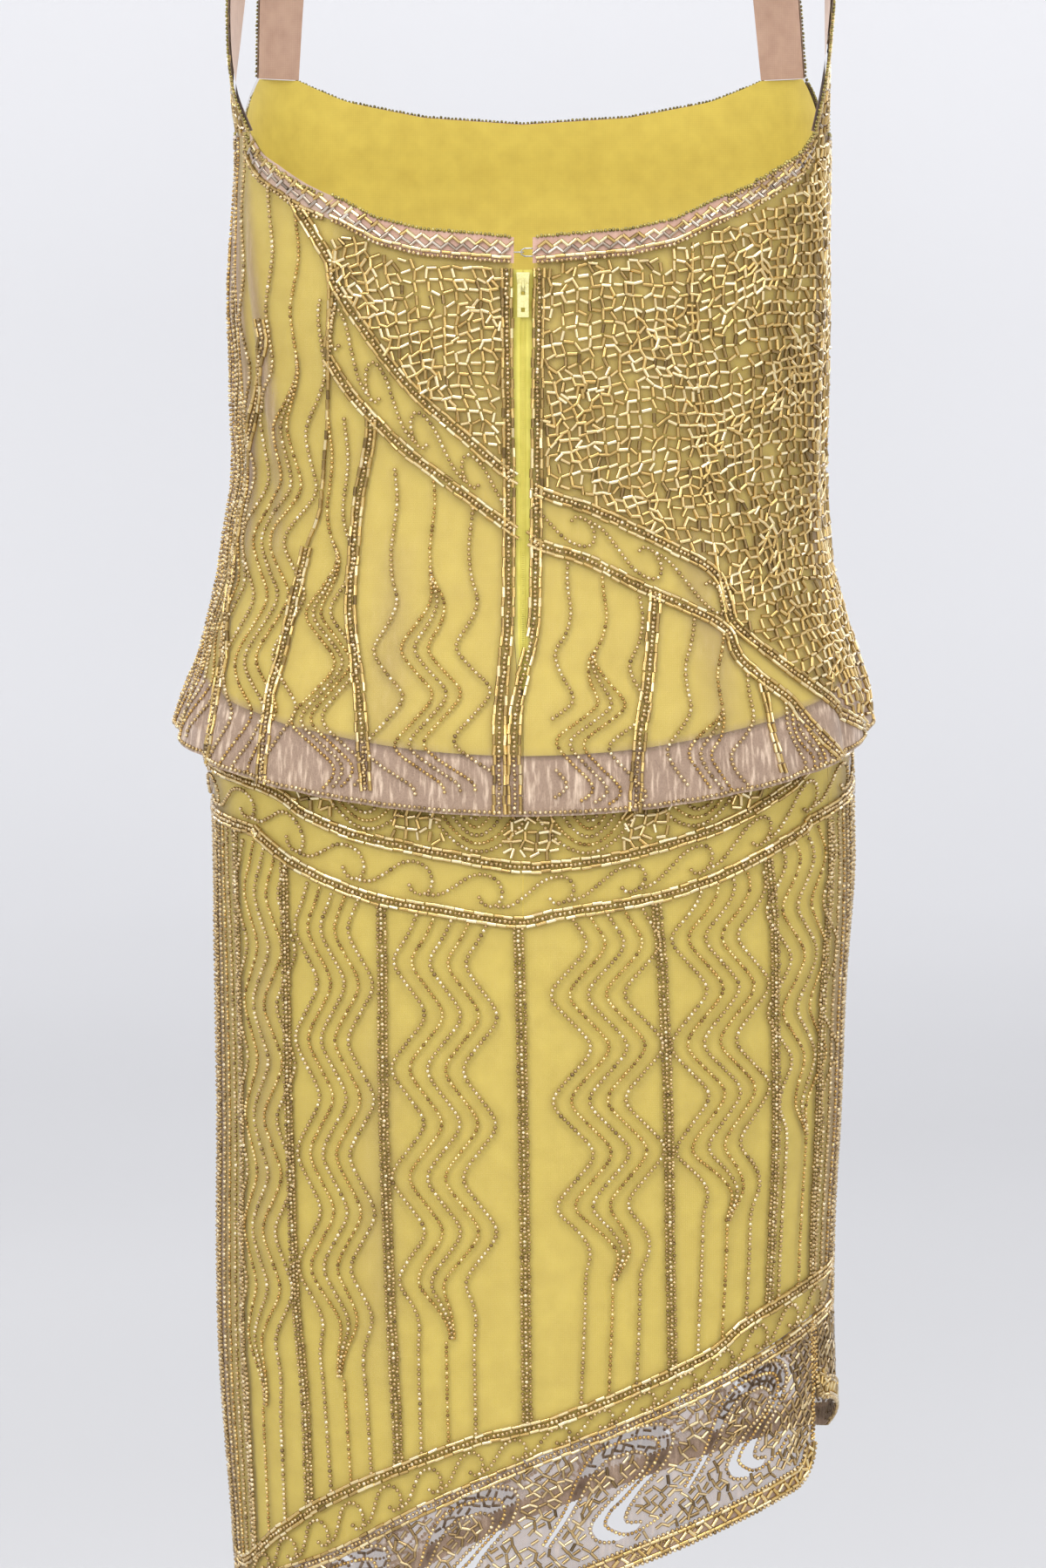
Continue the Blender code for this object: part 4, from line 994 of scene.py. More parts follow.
# Shape, material, half width, length along the thread, and the pitch it is strung at.
KINDS = {
    "champagne": ("round", "champagne", 0.00135, 0.00255, 0.00285),
    "close": ("round", "champagne", 0.00132, 0.00250, 0.00262),
    "bronze": ("round", "bronze", 0.00118, 0.00210, 0.00225),
    "gold": ("round", "gold", 0.00116, 0.00230, 0.00245),
    "olive": ("round", "olive", 0.00118, 0.00215, 0.00225),
    "bugle": ("bugle", "bugle", 0.00118, 0.00535, 0.00560),
    "silver": ("bugle", "silver_bugle", 0.00112, 0.00560, 0.00600),
    "fine": ("bugle", "fine_bugle", 0.00100, 0.00490, 0.00520),
}
BAND_LIFT = 0.0012  # of beads on the lace's edge band
THREAD_STEP = 0.0004  # ahead and behind, to find a thread's direction
# The three side by side rows of a border, and of a band down the skirt: kind and place across.
BORDER = (("bugle", -0.00260), ("close", 0.0), ("bugle", 0.00260))
BAND = (("bronze", -0.00225), ("close", 0.0), ("bronze", 0.00225))
PAIR = (("bugle", -0.0012), ("close", 0.0012))
ONE_ROW = (("champagne", 0.0),)

# Spread of the directions outward and of the thread, and of the size.
UNEVEN = {"out": 0.07, "bugle": 0.035, "round": 0.08, "size": 0.05}
BEAD_RISE = 0.55  # from the net to a bead's middle, in half widths
GLINTS = {"bugle": 0.10, "round": 0.05}  # share of the beads that shine

collected = {}


def add_beads(piece, kind, centres, runs, normals):
    """Keeps beads to be built: their middles on the cloth, directions of thread and outward."""
    collected.setdefault((piece, kind), []).append(np.stack([centres, runs, normals], 1))


def round_shape():
    """The outer three quarters of a round bead, open where it is sewn down."""
    ring_height, ring_width = 1 / math.sqrt(5), 2 / math.sqrt(5)
    points, faces = [(0.0, 0.0, 1.0)], []
    for height, turn in ((ring_height, 0.0), (-ring_height, 36.0)):
        for k in range(5):
            angle = math.radians(72 * k + turn)
            points.append((ring_width * math.cos(angle), ring_width * math.sin(angle), height))
    for k in range(5):
        n = (k + 1) % 5
        faces += [(0, 1 + k, 1 + n), (1 + k, 6 + k, 1 + n), (1 + n, 6 + k, 6 + n)]
    return np.array(points), np.array(faces)


def bugle_shape():
    """The outer part of a cut tube with its ends closed, open where it is sewn down."""
    sides = 4
    angles = [math.radians(-36 + 252 * k / sides) for k in range(sides + 1)]
    rim = [[(end, math.cos(a), math.sin(a)) for a in angles] for end in (-1.0, 1.0)]
    points = rim[0] + rim[1] + rim[0] + rim[1]
    one, two, three = sides + 1, 2 * sides + 2, 3 * sides + 3
    faces = []
    for k in range(sides):
        faces += [(k, k + 1, one + k), (k + 1, one + k + 1, one + k)]
    for k in range(1, sides):
        faces += [(two, two + k + 1, two + k), (three, three + k, three + k + 1)]
    return np.array(points), np.array(faces)


SHAPES = {"round": round_shape(), "bugle": bugle_shape()}


def build_beads():
    """One joined mesh for each piece of cloth and kind of bead."""
    for (piece, kind), groups in sorted(collected.items()):
        beads = np.concatenate(groups)
        shape, material, half, length, _ = KINDS[kind]
        points, faces = SHAPES[shape]
        count = len(beads)
        normals = beads[:, 2] + chance.normal(0, UNEVEN["out"], (count, 3))
        runs = beads[:, 1] + chance.normal(0, UNEVEN[shape], (count, 3))
        runs -= normals * (runs * normals).sum(1, keepdims=True) / (normals**2).sum(1, keepdims=True)
        runs, normals = unit(runs), unit(normals)
        across = np.cross(normals, runs)
        size = chance.normal(1, UNEVEN["size"], (count, 1, 1)).clip(0.85, 1.15)
        wide = points * np.array([length / 2, half, half])
        middles = beads[:, 0] + normals * half * BEAD_RISE
        place = middles[:, None] + size * (
            wide[None, :, :1] * runs[:, None] + wide[None, :, 1:2] * across[:, None]
            + wide[None, :, 2:] * normals[:, None]
        )
        every = faces[None] + (np.arange(count) * len(points))[:, None, None]
        mesh = bpy.data.meshes.new(f"beads_{piece}_{kind}")
        mesh.from_pydata(place.reshape(-1, 3).tolist(), [], every.reshape(-1, 3).tolist())
        mesh.shade_smooth()
        tone_and_painted_light = chance.normal(0.53, 0.28 if kind == "gold" else 0.17, count).clip(0.1, 1)
        tone_and_painted_light = np.where(chance.random(count) < GLINTS[shape], 0.95, tone_and_painted_light)
        if shape == "bugle":  # those that lie level catch the lights
            tone_and_painted_light = (tone_and_painted_light + 0.28 * (np.abs(beads[:, 1, 0]) - 0.6)).clip(0.08, 1)
        # Painted shade: each bead darker low down, towards the net and between the beads.
        depth = 0.42 + 0.58 * np.clip(points[:, 2] * 0.75 + 0.35, 0, 1)
        set_value(mesh, "tone_and_painted_light", (tone_and_painted_light[:, None] * depth[None]).ravel())
        new_object(f"beads_{piece}_{kind}", mesh, material)


def string(cloth, piece, kind, path, face=1, aside=0.0, keep=None, lift=0.0, loose=0.0, tilt=0.0):
    """Strings beads of one kind along a flat path on the cloth."""
    if aside:
        path = shifted(path, aside)
    along = lengths(cloth.place(path, face)[0])
    at = evenly(along[-1], KINDS[kind][-1])
    if not len(at):
        return
    spots, ahead, behind = (along_path(path, along, at + step) for step in (0, THREAD_STEP, -THREAD_STEP))
    if loose:
        spots = spots + chance.normal(0, loose, spots.shape)
    good = cloth.holds(spots, face)
    if keep is not None:
        good &= keep(spots)
    if not good.any():
        return
    spots, ahead, behind = spots[good], ahead[good], behind[good]
    centres, normals = cloth.place(spots, face, lift)
    normals = normals + np.array([0, 0, tilt])
    runs = cloth.place(ahead, face)[0] - cloth.place(behind, face)[0]
    add_beads(piece, kind, centres, unit(runs), normals)


def lay(cloth, piece, kind, spots, runs, face=1, lift=0.0):
    """Lays beads of one kind at flat places, along flat directions."""
    centres, normals = cloth.place(spots, face, lift)
    threads = cloth.place(spots + runs * 0.001, face, lift)[0] - centres
    add_beads(piece, kind, centres, unit(threads), normals)


def rows_of(cloth, piece, rows, path, face=1, **more):
    for kind, aside in rows:
        string(cloth, piece, kind, path, face, aside, loose=0.0002, **more)


# Bare cloth between the beads and the edges of the bodice, the skirt and the lace.
BARE = {
    "neckband": 0.0015, "armhole": 0.0085, "strap": 0.0010, "hem": 0.0012, "opening": -0.0004,
    "lined_hem": -0.0066, "lace_top": -0.001, "lace_bottom": -0.0006,
}
OPENING_END, SKIRT_START = -0.505, -0.555  # heights


def on_bodice(flat, face):
    """Keeps beads clear of the neckband, the armholes, the hem and the zip's opening."""
    degrees, z = BODICE.turned(flat, face)
    turned = np.abs(away(degrees, 0))
    neckline = (turned < STRAP_BACK[0]) | (np.abs(away(degrees, 180)) < 180 - STRAP_FRONT[0])
    edge = np.where(neckline, NECKBAND_HEIGHT + BARE["neckband"], BARE["armhole"])
    for low, high in (STRAP_BACK, STRAP_FRONT[::-1]):
        edge = np.where((turned > low) & (turned < high), BARE["strap"], edge)
    good = (z < top_edge(degrees) - edge) & (z > swing(BODICE_HEM, degrees) + BARE["hem"])
    if face > 0:
        x = np.abs(ring(BODICE_SECTIONS, degrees, z)[:, 0])
        half = np.interp(z, OPENING[:, 0], OPENING[:, 1])
        good &= (x > half + BARE["opening"]) | (z < OPENING_END)
    return good


def on_skirt(flat, face):
    """Keeps beads between the bodice's hem and the first row of the lace."""
    degrees, z = SKIRT.turned(flat, face)
    return (z > lined_hem(degrees) + BARE["lined_hem"]) & (z < SKIRT_START)


def on_lace(flat, face):
    """Keeps beads above the lace's bottom edge."""
    along = flat[:, 0]
    good = flat[:, 1] < -BARE["lace_top"]
    for _, start, end, slit, depth_at_slit, _ in lace_pieces():
        here = (along > start) & (along < end)
        good &= ~here | (flat[:, 1] > BARE["lace_bottom"] - lace_depth(along, slit, depth_at_slit))
    return good


def anywhere(flat, face):
    return np.ones(len(flat), bool)


EDGES = Cloth(bodice_form, BODICE_SECTIONS, -0.41)  # the bodice, with beads on its edges too
BODICE.holds, SKIRT.holds, LACE.holds, EDGES.holds = on_bodice, on_skirt, on_lace, anywhere


BUGLE_REACH = 0.0026  # from the middle of a bugle to its ends
# How far the lattice's corners and its bugles' directions stray, in cells.
STRAY = {"corner": 0.13, "direction": 0.24}


def lattice(cloth, piece, keep, low, high, face=1, cell=0.0074, missing=0.05, turn=0.0, kind="bugle"):
    """Bugles round loose square cells, over a flat box from its low corner to its high one."""
    middle = (np.array(low) + high) / 2
    reach = np.linalg.norm(np.array(high) - low) / 2
    count = int(reach / cell) + 1
    i, j = np.meshgrid(np.arange(-count, count), np.arange(-count, count), indexing="ij")
    # Slow waves, so that the cells differ across the cloth.
    wave_x = 0.35 * np.sin(i * 0.55 + j * 0.21) + 0.3 * np.sin(j * 0.47 + 1.3)
    wave_y = 0.35 * np.sin(j * 0.49 - i * 0.27 + 0.7) + 0.3 * np.sin(i * 0.41 + 2.1)
    nodes = np.stack([i + wave_x, j + wave_y], -1) + chance.normal(0, STRAY["corner"], (*i.shape, 2))
    c, s = math.cos(turn), math.sin(turn)
    nodes = middle + cell * nodes @ np.array([[c, s], [-s, c]])
    starts = np.concatenate([nodes[:-1].reshape(-1, 2), nodes[:, :-1].reshape(-1, 2)])
    ends = np.concatenate([nodes[1:].reshape(-1, 2), nodes[:, 1:].reshape(-1, 2)])
    lean = chance.normal(0, STRAY["direction"], (len(starts), 2)) * cell
    spots, runs = (starts + ends) / 2, unit(ends - starts + lean)
    good = (spots > low).all(1) & (spots < high).all(1) & (chance.random(len(spots)) > missing)
    good &= cloth.holds(spots, face) & keep(spots)
    for side in (-1, 1):
        good &= cloth.holds(spots + side * runs * BUGLE_REACH, face)
    lay(cloth, piece, kind, spots[good], runs[good], face)


def zigzag(phase):
    """A wave with nearly straight sides and round turns, from about -1 to 1."""
    return np.sin(phase) - np.sin(3 * phase) / 22


# One curl of a running wave: pitches along, and shares of the band's height.
SCROLL = (
    (0.0, 0.24), (0.22, 0.30), (0.45, 0.52), (0.65, 0.72), (0.85, 0.78), (1.02, 0.70),
    (1.09, 0.50), (1.04, 0.31), (0.92, 0.23), (0.80, 0.28), (0.75, 0.40),
)


def scrolls(cloth, piece, upper, lower, count, face=1, flip=False):
    """A running wave of curls between two flat edges, which are followed the same way."""
    unit_curl = curve(SCROLL, 0.004)
    height = (1 - unit_curl[:, 1] if flip else unit_curl[:, 1])[:, None]
    for n in range(count):
        share = np.clip((n + unit_curl[:, 0]) / count, 0, 1)
        low, high = (
            along_path(edge, lengths(edge), share * lengths(edge)[-1]) for edge in (lower, upper)
        )
        string(cloth, piece, "champagne", low + (high - low) * height, face)


# ---- the bodice's beadwork, placed in the photograph's frame ----------------------------------

DIAGONAL_TOP = (
    (300, 120), (322, 185), (339, 232), (360, 268), (378, 300), (386, 328), (430, 395), (481, 456),
    (532, 500), (572, 535), (596, 551), (620, 565), (675, 583), (732, 609), (790, 638), (822, 660),
    (834, 690), (840, 712), (861, 733), (900, 764), (940, 798), (970, 825), (992, 845),
)
BAND_TOP_LEFT = ((386, 330), (430, 395), (481, 456), (532, 500), (572, 535), (596, 551))
BAND_LOW_LEFT = ((376, 410), (404, 453), (455, 507), (506, 548), (575, 598), (596, 612))
BAND_END_LEFT = ((386, 330), (379, 370), (376, 410))
BAND_TOP_RIGHT = ((596, 551), (620, 565), (675, 583), (732, 609), (790, 638), (822, 660))
BAND_LOW_RIGHT = ((596, 612), (622, 626), (675, 643), (732, 672), (790, 698), (832, 722))
LOW_RIGHT_TAIL = ((790, 698), (832, 722), (846, 752), (876, 781), (904, 804), (933, 844), (955, 868))
# Upper and lower edge of each run of scrolls, how many, and whether they stand on their heads.
BODICE_SCROLLS = (
    (BAND_TOP_LEFT[::-1], BAND_LOW_LEFT[::-1], 4, False), (BAND_TOP_RIGHT, BAND_LOW_RIGHT, 3, True),
)
LATTICE_FROM = (386, 400)  # left end of the lattice
ZIP_LEFT = ((581, 296), (582, 420), (584, 560), (583, 700), (578, 770), (573, 835), (573, 935))
ZIP_RIGHT = (
    (619, 296), (617, 420), (615.5, 560), (613.5, 700), (607, 745), (598, 785), (590.5, 835),
    (590.5, 935),
)
DARTS = (
    (((384, 286), (378, 329), (377, 420), (376, 470), (371, 545), (366, 590), (352, 627)),
     (("bugle", 0.0),)),
    (((352, 627), (335, 701), (318, 773), (311, 830), (305, 900)), BORDER),
    (((300, 365), (304, 400), (293, 480), (285, 545), (275, 600), (263, 680), (259, 760), (251, 830),
      (243, 876)), BORDER),
    (((426, 480), (424, 509), (412, 572), (405, 643), (402, 701), (408, 758), (414, 816), (419, 908)),
     BORDER),
    (((752, 680), (747, 744), (741, 801), (733, 859), (729, 932)), BORDER),
    (((872, 783), (880, 830), (894, 886)), (("bugle", -0.0011), ("bugle", 0.0011))),
    (((795, 255), (794, 370), (806, 500), (817, 615), (834, 701)), (("bugle", 0.0),)),
)
# Groups of lines that stand straight at the top and wave more and more towards the hem: the way
# down the middle, then metres: half the distance between the outer lines, first turn to the left,
# length of a wave, and for shares of the way down, how far they swing. The inner three lines part
# from one at a share of the way, and stand a distance apart below it.
BODICE_WAVES = (
    {"way": ((497, 535), (495, 650), (492, 760), (499, 912)), "half": 0.0215, "first": 0.101,
     "wave": 0.054, "swing": ((0, 0.001), (0.3, 0.001), (0.55, 0.007), (1, 0.0115)), "apex": 0.30,
     "inner": 0.0070},
    {"way": ((693, 640), (692, 730), (684, 800), (668, 920)), "half": 0.0195, "first": 0.056,
     "wave": 0.049, "swing": ((0, 0.0005), (0.3, 0.002), (0.6, 0.008), (1, 0.011)), "apex": 0.36,
     "inner": 0.0068},
    {"way": ((828, 715), (822, 810), (813, 905)), "half": 0.0170, "first": 0.074,
     "wave": 0.047, "swing": ((0, 0.0005), (0.4, 0.002), (1, 0.0075)), "apex": 0.50, "inner": 0.0058},
    {"way": ((377, 478), (380, 560), (378, 640), (374, 760), (372, 905)), "half": 0.0100, "first": 0.110,
     "wave": 0.060, "swing": ((0, 0.0005), (0.25, 0.002), (0.5, 0.008), (1, 0.0100)), "apex": 0.33,
     "inner": 0.0045, "right_only": True},
    {"way": ((338, 140), (340, 250), (338, 360), (333, 470), (316, 600), (302, 720), (291, 900)),
     "half": 0.0180, "first": 0.040, "wave": 0.066,
     "swing": ((0, 0.001), (0.35, 0.003), (0.6, 0.008), (1, 0.009)), "apex": 0.34, "inner": 0.0075},
    {"turn": -69, "half": 0.0135, "first": 0.058, "wave": 0.060,
     "swing": ((0, 0.001), (0.4, 0.003), (1, 0.007)), "apex": 0.25, "inner": 0.0062},
    {"turn": -83, "half": 0.0125, "first": 0.050, "wave": 0.062,
     "swing": ((0, 0.0008), (0.5, 0.003), (1, 0.006)), "apex": 0.20, "inner": 0.0058},
    {"way": ((905, 790), (915, 830), (930, 880)), "half": 0.0075, "first": 0.020, "wave": 0.040,
     "swing": ((0, 0.001), (1, 0.003)), "apex": 0.1, "inner": 0.0035},
)


BODICE_DIAGONAL = BODICE.line(DIAGONAL_TOP)
BODICE_LOW = BODICE.line(BAND_LOW_LEFT + BAND_LOW_RIGHT[1:-1] + LOW_RIGHT_TAIL[1:])
LATTICE_START = BODICE.seen((LATTICE_FROM,))[0, 0]
# How far beads stay from the middles of borders: lines below the lower and the upper diagonal one,
# the lattice above the upper one, and both from the zip.
CLEAR = {"low": 0.0042, "top": 0.004, "lattice": 0.0048, "zip_waves": 0.0145, "zip_lattice": 0.0125}


def steady(pairs, share):
    pairs = np.array(pairs, float)
    return np.interp(share, pairs[:, 0], pairs[:, 1])


def bodice_waves(group, face):
    if "turn" in group:
        u = BODICE.around(group["turn"])
        way = curve(((u, -0.20), (u, -0.56)))
    else:
        way = BODICE.line(group["way"])
    far = lengths(way)
    share = far / far[-1]
    swing_out = steady(group["swing"], share) * zigzag(
        2 * math.pi * (far - group["first"]) / group["wave"] - math.pi / 2
    )
    piece = face_name("bodice", face)
    keep = outside_bands(face)
    for side in (1,) if group.get("right_only") else (-1, 1):
        outer = shifted(way, swing_out + side * group["half"])
        string(BODICE, piece, "champagne", outer, face, keep=keep)
    spread = group["inner"] * ease(group["apex"], group["apex"] + 0.22, share)
    below = share >= group["apex"]
    string(BODICE, piece, "gold", shifted(way, swing_out)[~below], face, keep=keep)
    for side, kind in ((-1, "gold"), (0, "champagne"), (1, "gold")):
        string(BODICE, piece, kind, shifted(way, swing_out + side * spread)[below], face, keep=keep)


def face_name(cloth, face):
    return f"{cloth}_back" if face > 0 else f"{cloth}_front"


def outside_bands(face):
    """Keeps lines below the diagonal border and off the zip's borders."""
    low_start = BODICE_LOW[0, 0] - 0.002

    def keep(spots):
        under = spots[:, 1] < height_on(BODICE_LOW, spots) - CLEAR["low"]
        beside = (spots[:, 0] < low_start) & (
            (spots[:, 1] < height_on(BODICE_DIAGONAL, spots) - CLEAR["top"])
            | (spots[:, 0] < BODICE_DIAGONAL[:, 0].min())
        )
        clear = (np.abs(spots[:, 0]) > CLEAR["zip_waves"]) | (face < 0)
        return (under & (spots[:, 0] >= low_start) | beside) & clear

    return keep


def bead_bodice(face):
    piece = face_name("bodice", face)
    rows_of(BODICE, piece, BORDER, BODICE_DIAGONAL, face)
    rows_of(BODICE, piece, BORDER, BODICE_LOW, face)
    rows_of(BODICE, piece, PAIR, BODICE.line(BAND_END_LEFT), face)
    for spots, rows in DARTS:
        rows_of(BODICE, piece, rows, BODICE.line(spots), face)
    for upper, lower, count, flip in BODICE_SCROLLS:
        scrolls(BODICE, piece, BODICE.line(upper), BODICE.line(lower), count, face, flip)
    if face > 0:
        for line in (ZIP_LEFT, ZIP_RIGHT):
            rows_of(BODICE, piece, BORDER, BODICE.line(line), face)
    for group in BODICE_WAVES:
        bodice_waves(group, face)

    # The front's neckline is higher, so its lattice also fills the corner by the strap.
    first = LATTICE_START if face > 0 else BODICE_DIAGONAL[:, 0].min() - 0.004

    def above(spots):
        clear = (np.abs(spots[:, 0]) > CLEAR["zip_lattice"]) | (face < 0)
        over = spots[:, 1] > height_on(BODICE_DIAGONAL, spots) + CLEAR["lattice"]
        return (spots[:, 0] > first) & over & clear

    side = BODICE.around(90)
    lattice(BODICE, piece, above, (first, -0.60), (side, -0.15), face, cell=0.0062, turn=0.16)
    turns = np.linspace(-90, 90, 400)
    hem = swing(BODICE_HEM, turns if face > 0 else 180 - turns) + 0.0022
    string(BODICE, piece, "champagne", np.column_stack([BODICE.around(turns), hem]), face)


# ---- the neckline and straps ------------------------------------------------------------------


def edge_path(start, end, drop):
    turns = np.linspace(start, end, 260)
    return np.column_stack([BODICE.around(turns), top_edge(turns) - drop])


CHEVRON_PITCH, ZIGZAG_PITCH = 0.0042, 0.0040


def chevrons(start, end, drop, high, lift):
    """Two staggered rows of bugles that lean to and fro along a band."""
    path = edge_path(start, end, drop)
    along = lengths(EDGES.place(path)[0])
    spots = along_path(path, along, evenly(along[-1], CHEVRON_PITCH))
    count = len(spots)
    runs = unit(np.column_stack([np.full(count, 0.55), 0.45 * to_and_fro(count)]))
    for row, kind in ((-0.5, "silver"), (0.5, "bugle")):
        lay(EDGES, "neck", kind, spots + np.array([row * 0.0026, row * high]), runs, lift=lift)


NECK_ROWS = (("olive", 0.0003), ("bronze", 0.0022), ("bugle", 0.0120), ("champagne", 0.0141))
ARMHOLE_ROWS = (("olive", 0.0003), ("silver", 0.0023), ("champagne", 0.0044), ("champagne", 0.0066))


def bead_neckline():
    proud = SEAM_GAP + TRIM
    gap = NECK_OPENING + 0.5
    bands = ((gap, BACK_NECKBAND_END), (-BACK_NECKBAND_END, -gap), (STRAP_FRONT[0], 360 - STRAP_FRONT[0]))
    for start, end in bands:
        for kind, drop, tilt in (("olive", 0.0002, 1.2), ("bugle", 0.0116, 0.0), ("close", 0.0141, 0.0)):
            path = edge_path(start, end, drop)
            string(EDGES, "neck", kind, path, lift=proud, loose=0.00015, tilt=tilt)
        chevrons(start, end, 0.0062, 0.0036, proud)
    for side in (-1, 1):
        for start, end, rows in (
            (BACK_NECKBAND_END, STRAP_BACK[0], NECK_ROWS), (STRAP_BACK[1], STRAP_FRONT[1], ARMHOLE_ROWS),
        ):
            for kind, drop in rows:
                path = edge_path(start, end, drop) * np.array([side, 1])
                string(EDGES, "neck", kind, path, loose=0.0003)
        ends = sorted((side * BACK_NECKBAND_END, side * STRAP_BACK[0]))
        chevrons(*ends, 0.0071, 0.0038, 0.0)


class Strap:
    """A strap. Its flat places are metres across from the neck edge, and along it."""

    def __init__(self, side):
        self.side = side
        share = np.linspace(0, 1, 200)
        middle = strap_points(side, np.full(200, 0.5), share)
        self.share, self.far = share, lengths(middle)
        edges = strap_points(side, np.zeros(200), share), strap_points(side, np.ones(200), share)
        self.width = np.linalg.norm(edges[0] - edges[1], axis=1)

    def place(self, flat, face=1, lift=0.0):
        along = np.interp(flat[:, 1], self.far, self.share)
        across = flat[:, 0] / np.interp(along, self.share, self.width)
        normals = strap_normals(self.side, across, along)
        return strap_points(self.side, across, along) + normals * lift, normals

    def holds(self, flat, face):
        width = np.interp(flat[:, 1], self.far, self.width)
        return (flat[:, 0] > -0.0008) & (flat[:, 0] < width + 0.0008)


def bead_straps():
    for side, hand in ((-1, "left"), (1, "right")):
        strap = Strap(side)
        piece = f"strap_{hand}"
        along = np.linspace(0.0005, strap.far[-1] - 0.0005, 500)
        width = np.interp(along, strap.far, strap.width)
        for kind, inset in (("olive", 0.0004), ("bugle", 0.0023), ("bronze", 0.0042)):
            for path in (
                np.column_stack([np.full_like(along, inset), along]),
                np.column_stack([width - inset, along]),
            ):
                string(strap, piece, kind, path, loose=0.0002)

        def keep(spots):
            here = np.interp(spots[:, 1], strap.far, strap.width)
            return (spots[:, 0] > 0.0072) & (spots[:, 0] < here - 0.0072)

        lattice(strap, piece, keep, (0, 0), (0.045, strap.far[-1]), cell=0.0066)


# ---- the skirt's beadwork ---------------------------------------------------------------------

HIP_TOP = (
    (300, 902), (349, 933), (401, 956), (458, 970), (516, 982), (573, 992),
    (617, 995), (703, 985), (789, 962), (847, 939), (904, 904), (940, 874),
)
HIP_LOW = (
    (285, 950), (298, 959), (338, 991), (395, 1019), (444, 1034), (501, 1044), (559, 1054),
    (600, 1058), (646, 1048), (732, 1034), (804, 1014), (861, 988), (919, 953), (940, 935),
)
HEM_TOP = (
    (279, 1789), (320, 1757), (360, 1730), (400, 1710), (437, 1694), (500, 1669),
    (553, 1651), (619, 1636), (650, 1626), (720, 1598), (772, 1575), (818, 1551), (846, 1526),
    (881, 1502), (930, 1470),
)
# Heights of those lines at the sides of the skirt, to -X and to +X.
HIP_TOP_ENDS, HIP_LOW_ENDS, HEM_TOP_ENDS = (-0.572, -0.566), (-0.603, -0.588), (-1.022, -0.866)
SKIRT_BANDS = (
    ((326, 980), (329, 1137), (332, 1280), (339, 1478), (350, 1600), (356, 1745)),
    ((437, 1025), (439, 1137), (441, 1280), (448, 1478), (454, 1600), (458, 1700)),
    ((594, 1050), (597, 1137), (600, 1280), (603, 1478), (605, 1650)),
    ((752, 1030), (761, 1137), (767, 1280), (770, 1478), (772, 1590)),
    ((880, 980), (889, 1100), (890, 1280), (886, 1400), (881, 1512)),
)
# Straight rows down the sides: degrees from the centre back, and the rows.
SIDE_COLUMNS = (
    (62.5, BAND), (66.5, ONE_ROW), (69.5, (("gold", 0.0),)), (72.5, ONE_ROW),
    (76.5, BAND), (80.0, ONE_ROW), (83.0, (("bronze", 0.0),)), (86.5, ONE_ROW),
)
# The middle of each group of five waving lines, then metres: half the distance between the outer
# lines, how far they swing, length of a wave, first turn to the left, and the share of the way down
# where the inner three meet and go on as one.
SKIRT_WAVES = (
    {"way": ((300, 965), (301, 1137), (300, 1400), (303, 1625), (310, 1772)), "half": 0.0190,
     "swing": 0.0062, "wave": 0.066, "first": 0.028, "meet": 0.80},
    {"way": ((379, 1012), (383, 1200), (386, 1450), (395, 1580), (404, 1714)), "half": 0.0170,
     "swing": 0.0072, "wave": 0.066, "first": 0.025, "meet": 0.81},
    {"way": ((511, 1048), (509, 1300), (512, 1540), (515, 1670)), "half": 0.0205, "swing": 0.0088,
     "wave": 0.0625, "first": 0.027, "meet": 0.785},
    {"way": ((697, 1042), (698, 1250), (703, 1465), (698, 1612)), "half": 0.0205, "swing": 0.0103,
     "wave": 0.061, "first": 0.049, "meet": 0.75},
    {"way": ((830, 1002), (828, 1200), (834, 1397), (828, 1550)), "half": 0.0195, "swing": 0.0100,
     "wave": 0.0605, "first": 0.036, "meet": 0.73},
    {"way": ((922, 950), (926, 1100), (925, 1290), (915, 1485)), "half": 0.0220, "swing": 0.0080,
     "wave": 0.060, "first": 0.044, "meet": 0.66},
)


def skirt_waves(group, face):
    way = SKIRT.line(group["way"])
    far = lengths(way)
    share = far / far[-1]
    piece = face_name("skirt", face)
    phase = 2 * math.pi * (far - group["first"]) / group["wave"] - math.pi / 2
    rise = 0.55 + 0.45 * ease(0, 0.12, share)
    calm = 1 - ease(group["meet"] - 0.16, group["meet"] + 0.02, share)
    together = ease(group["meet"] - 0.17, group["meet"], share)
    out = group["swing"] * zigzag(phase) * rise
    above = share < group["meet"]
    for side in (-1, -0.5, 0, 0.5, 1):
        kind = "gold" if abs(side) == 0.5 else "champagne"
        place = side * group["half"]
        if abs(side) == 1:
            path = shifted(way, place * (1 - 0.22 * together) + out * calm)
        else:
            place = place * (1 - together) + np.sign(side) * 0.0011 * together
            path = shifted(way, place + out * (0.35 + 0.65 * calm))[above]
        string(SKIRT, piece, kind, path, face, keep=skirt_keep)
    string(SKIRT, piece, "gold", shifted(way, out * 0.35 * calm)[~above], face, keep=skirt_keep)


def round_line(spots, ends):
    """A line round the back of the skirt, from side to side."""
    left, right = ([SKIRT.around(90 * side), z] for side, z in zip((-1, 1), ends))
    return curve(np.vstack([left, SKIRT.seen(spots), right]))


SKIRT_CLEAR = 0.0035  # between the bands' borders and the lines
HEM_BORDER = -0.0030  # from the lined hem
HIP_SCROLLS, HEM_SCROLLS = 13, 20
SWAGS, SWAG_RISE, SWAG_ROW, SWAG_SAG = 8, 0.0055, 0.0045, 0.030
HIP_TOP_LINE = round_line(HIP_TOP, HIP_TOP_ENDS)
HIP_LOW_LINE = round_line(HIP_LOW, HIP_LOW_ENDS)
HEM_TOP_LINE = round_line(HEM_TOP, HEM_TOP_ENDS)


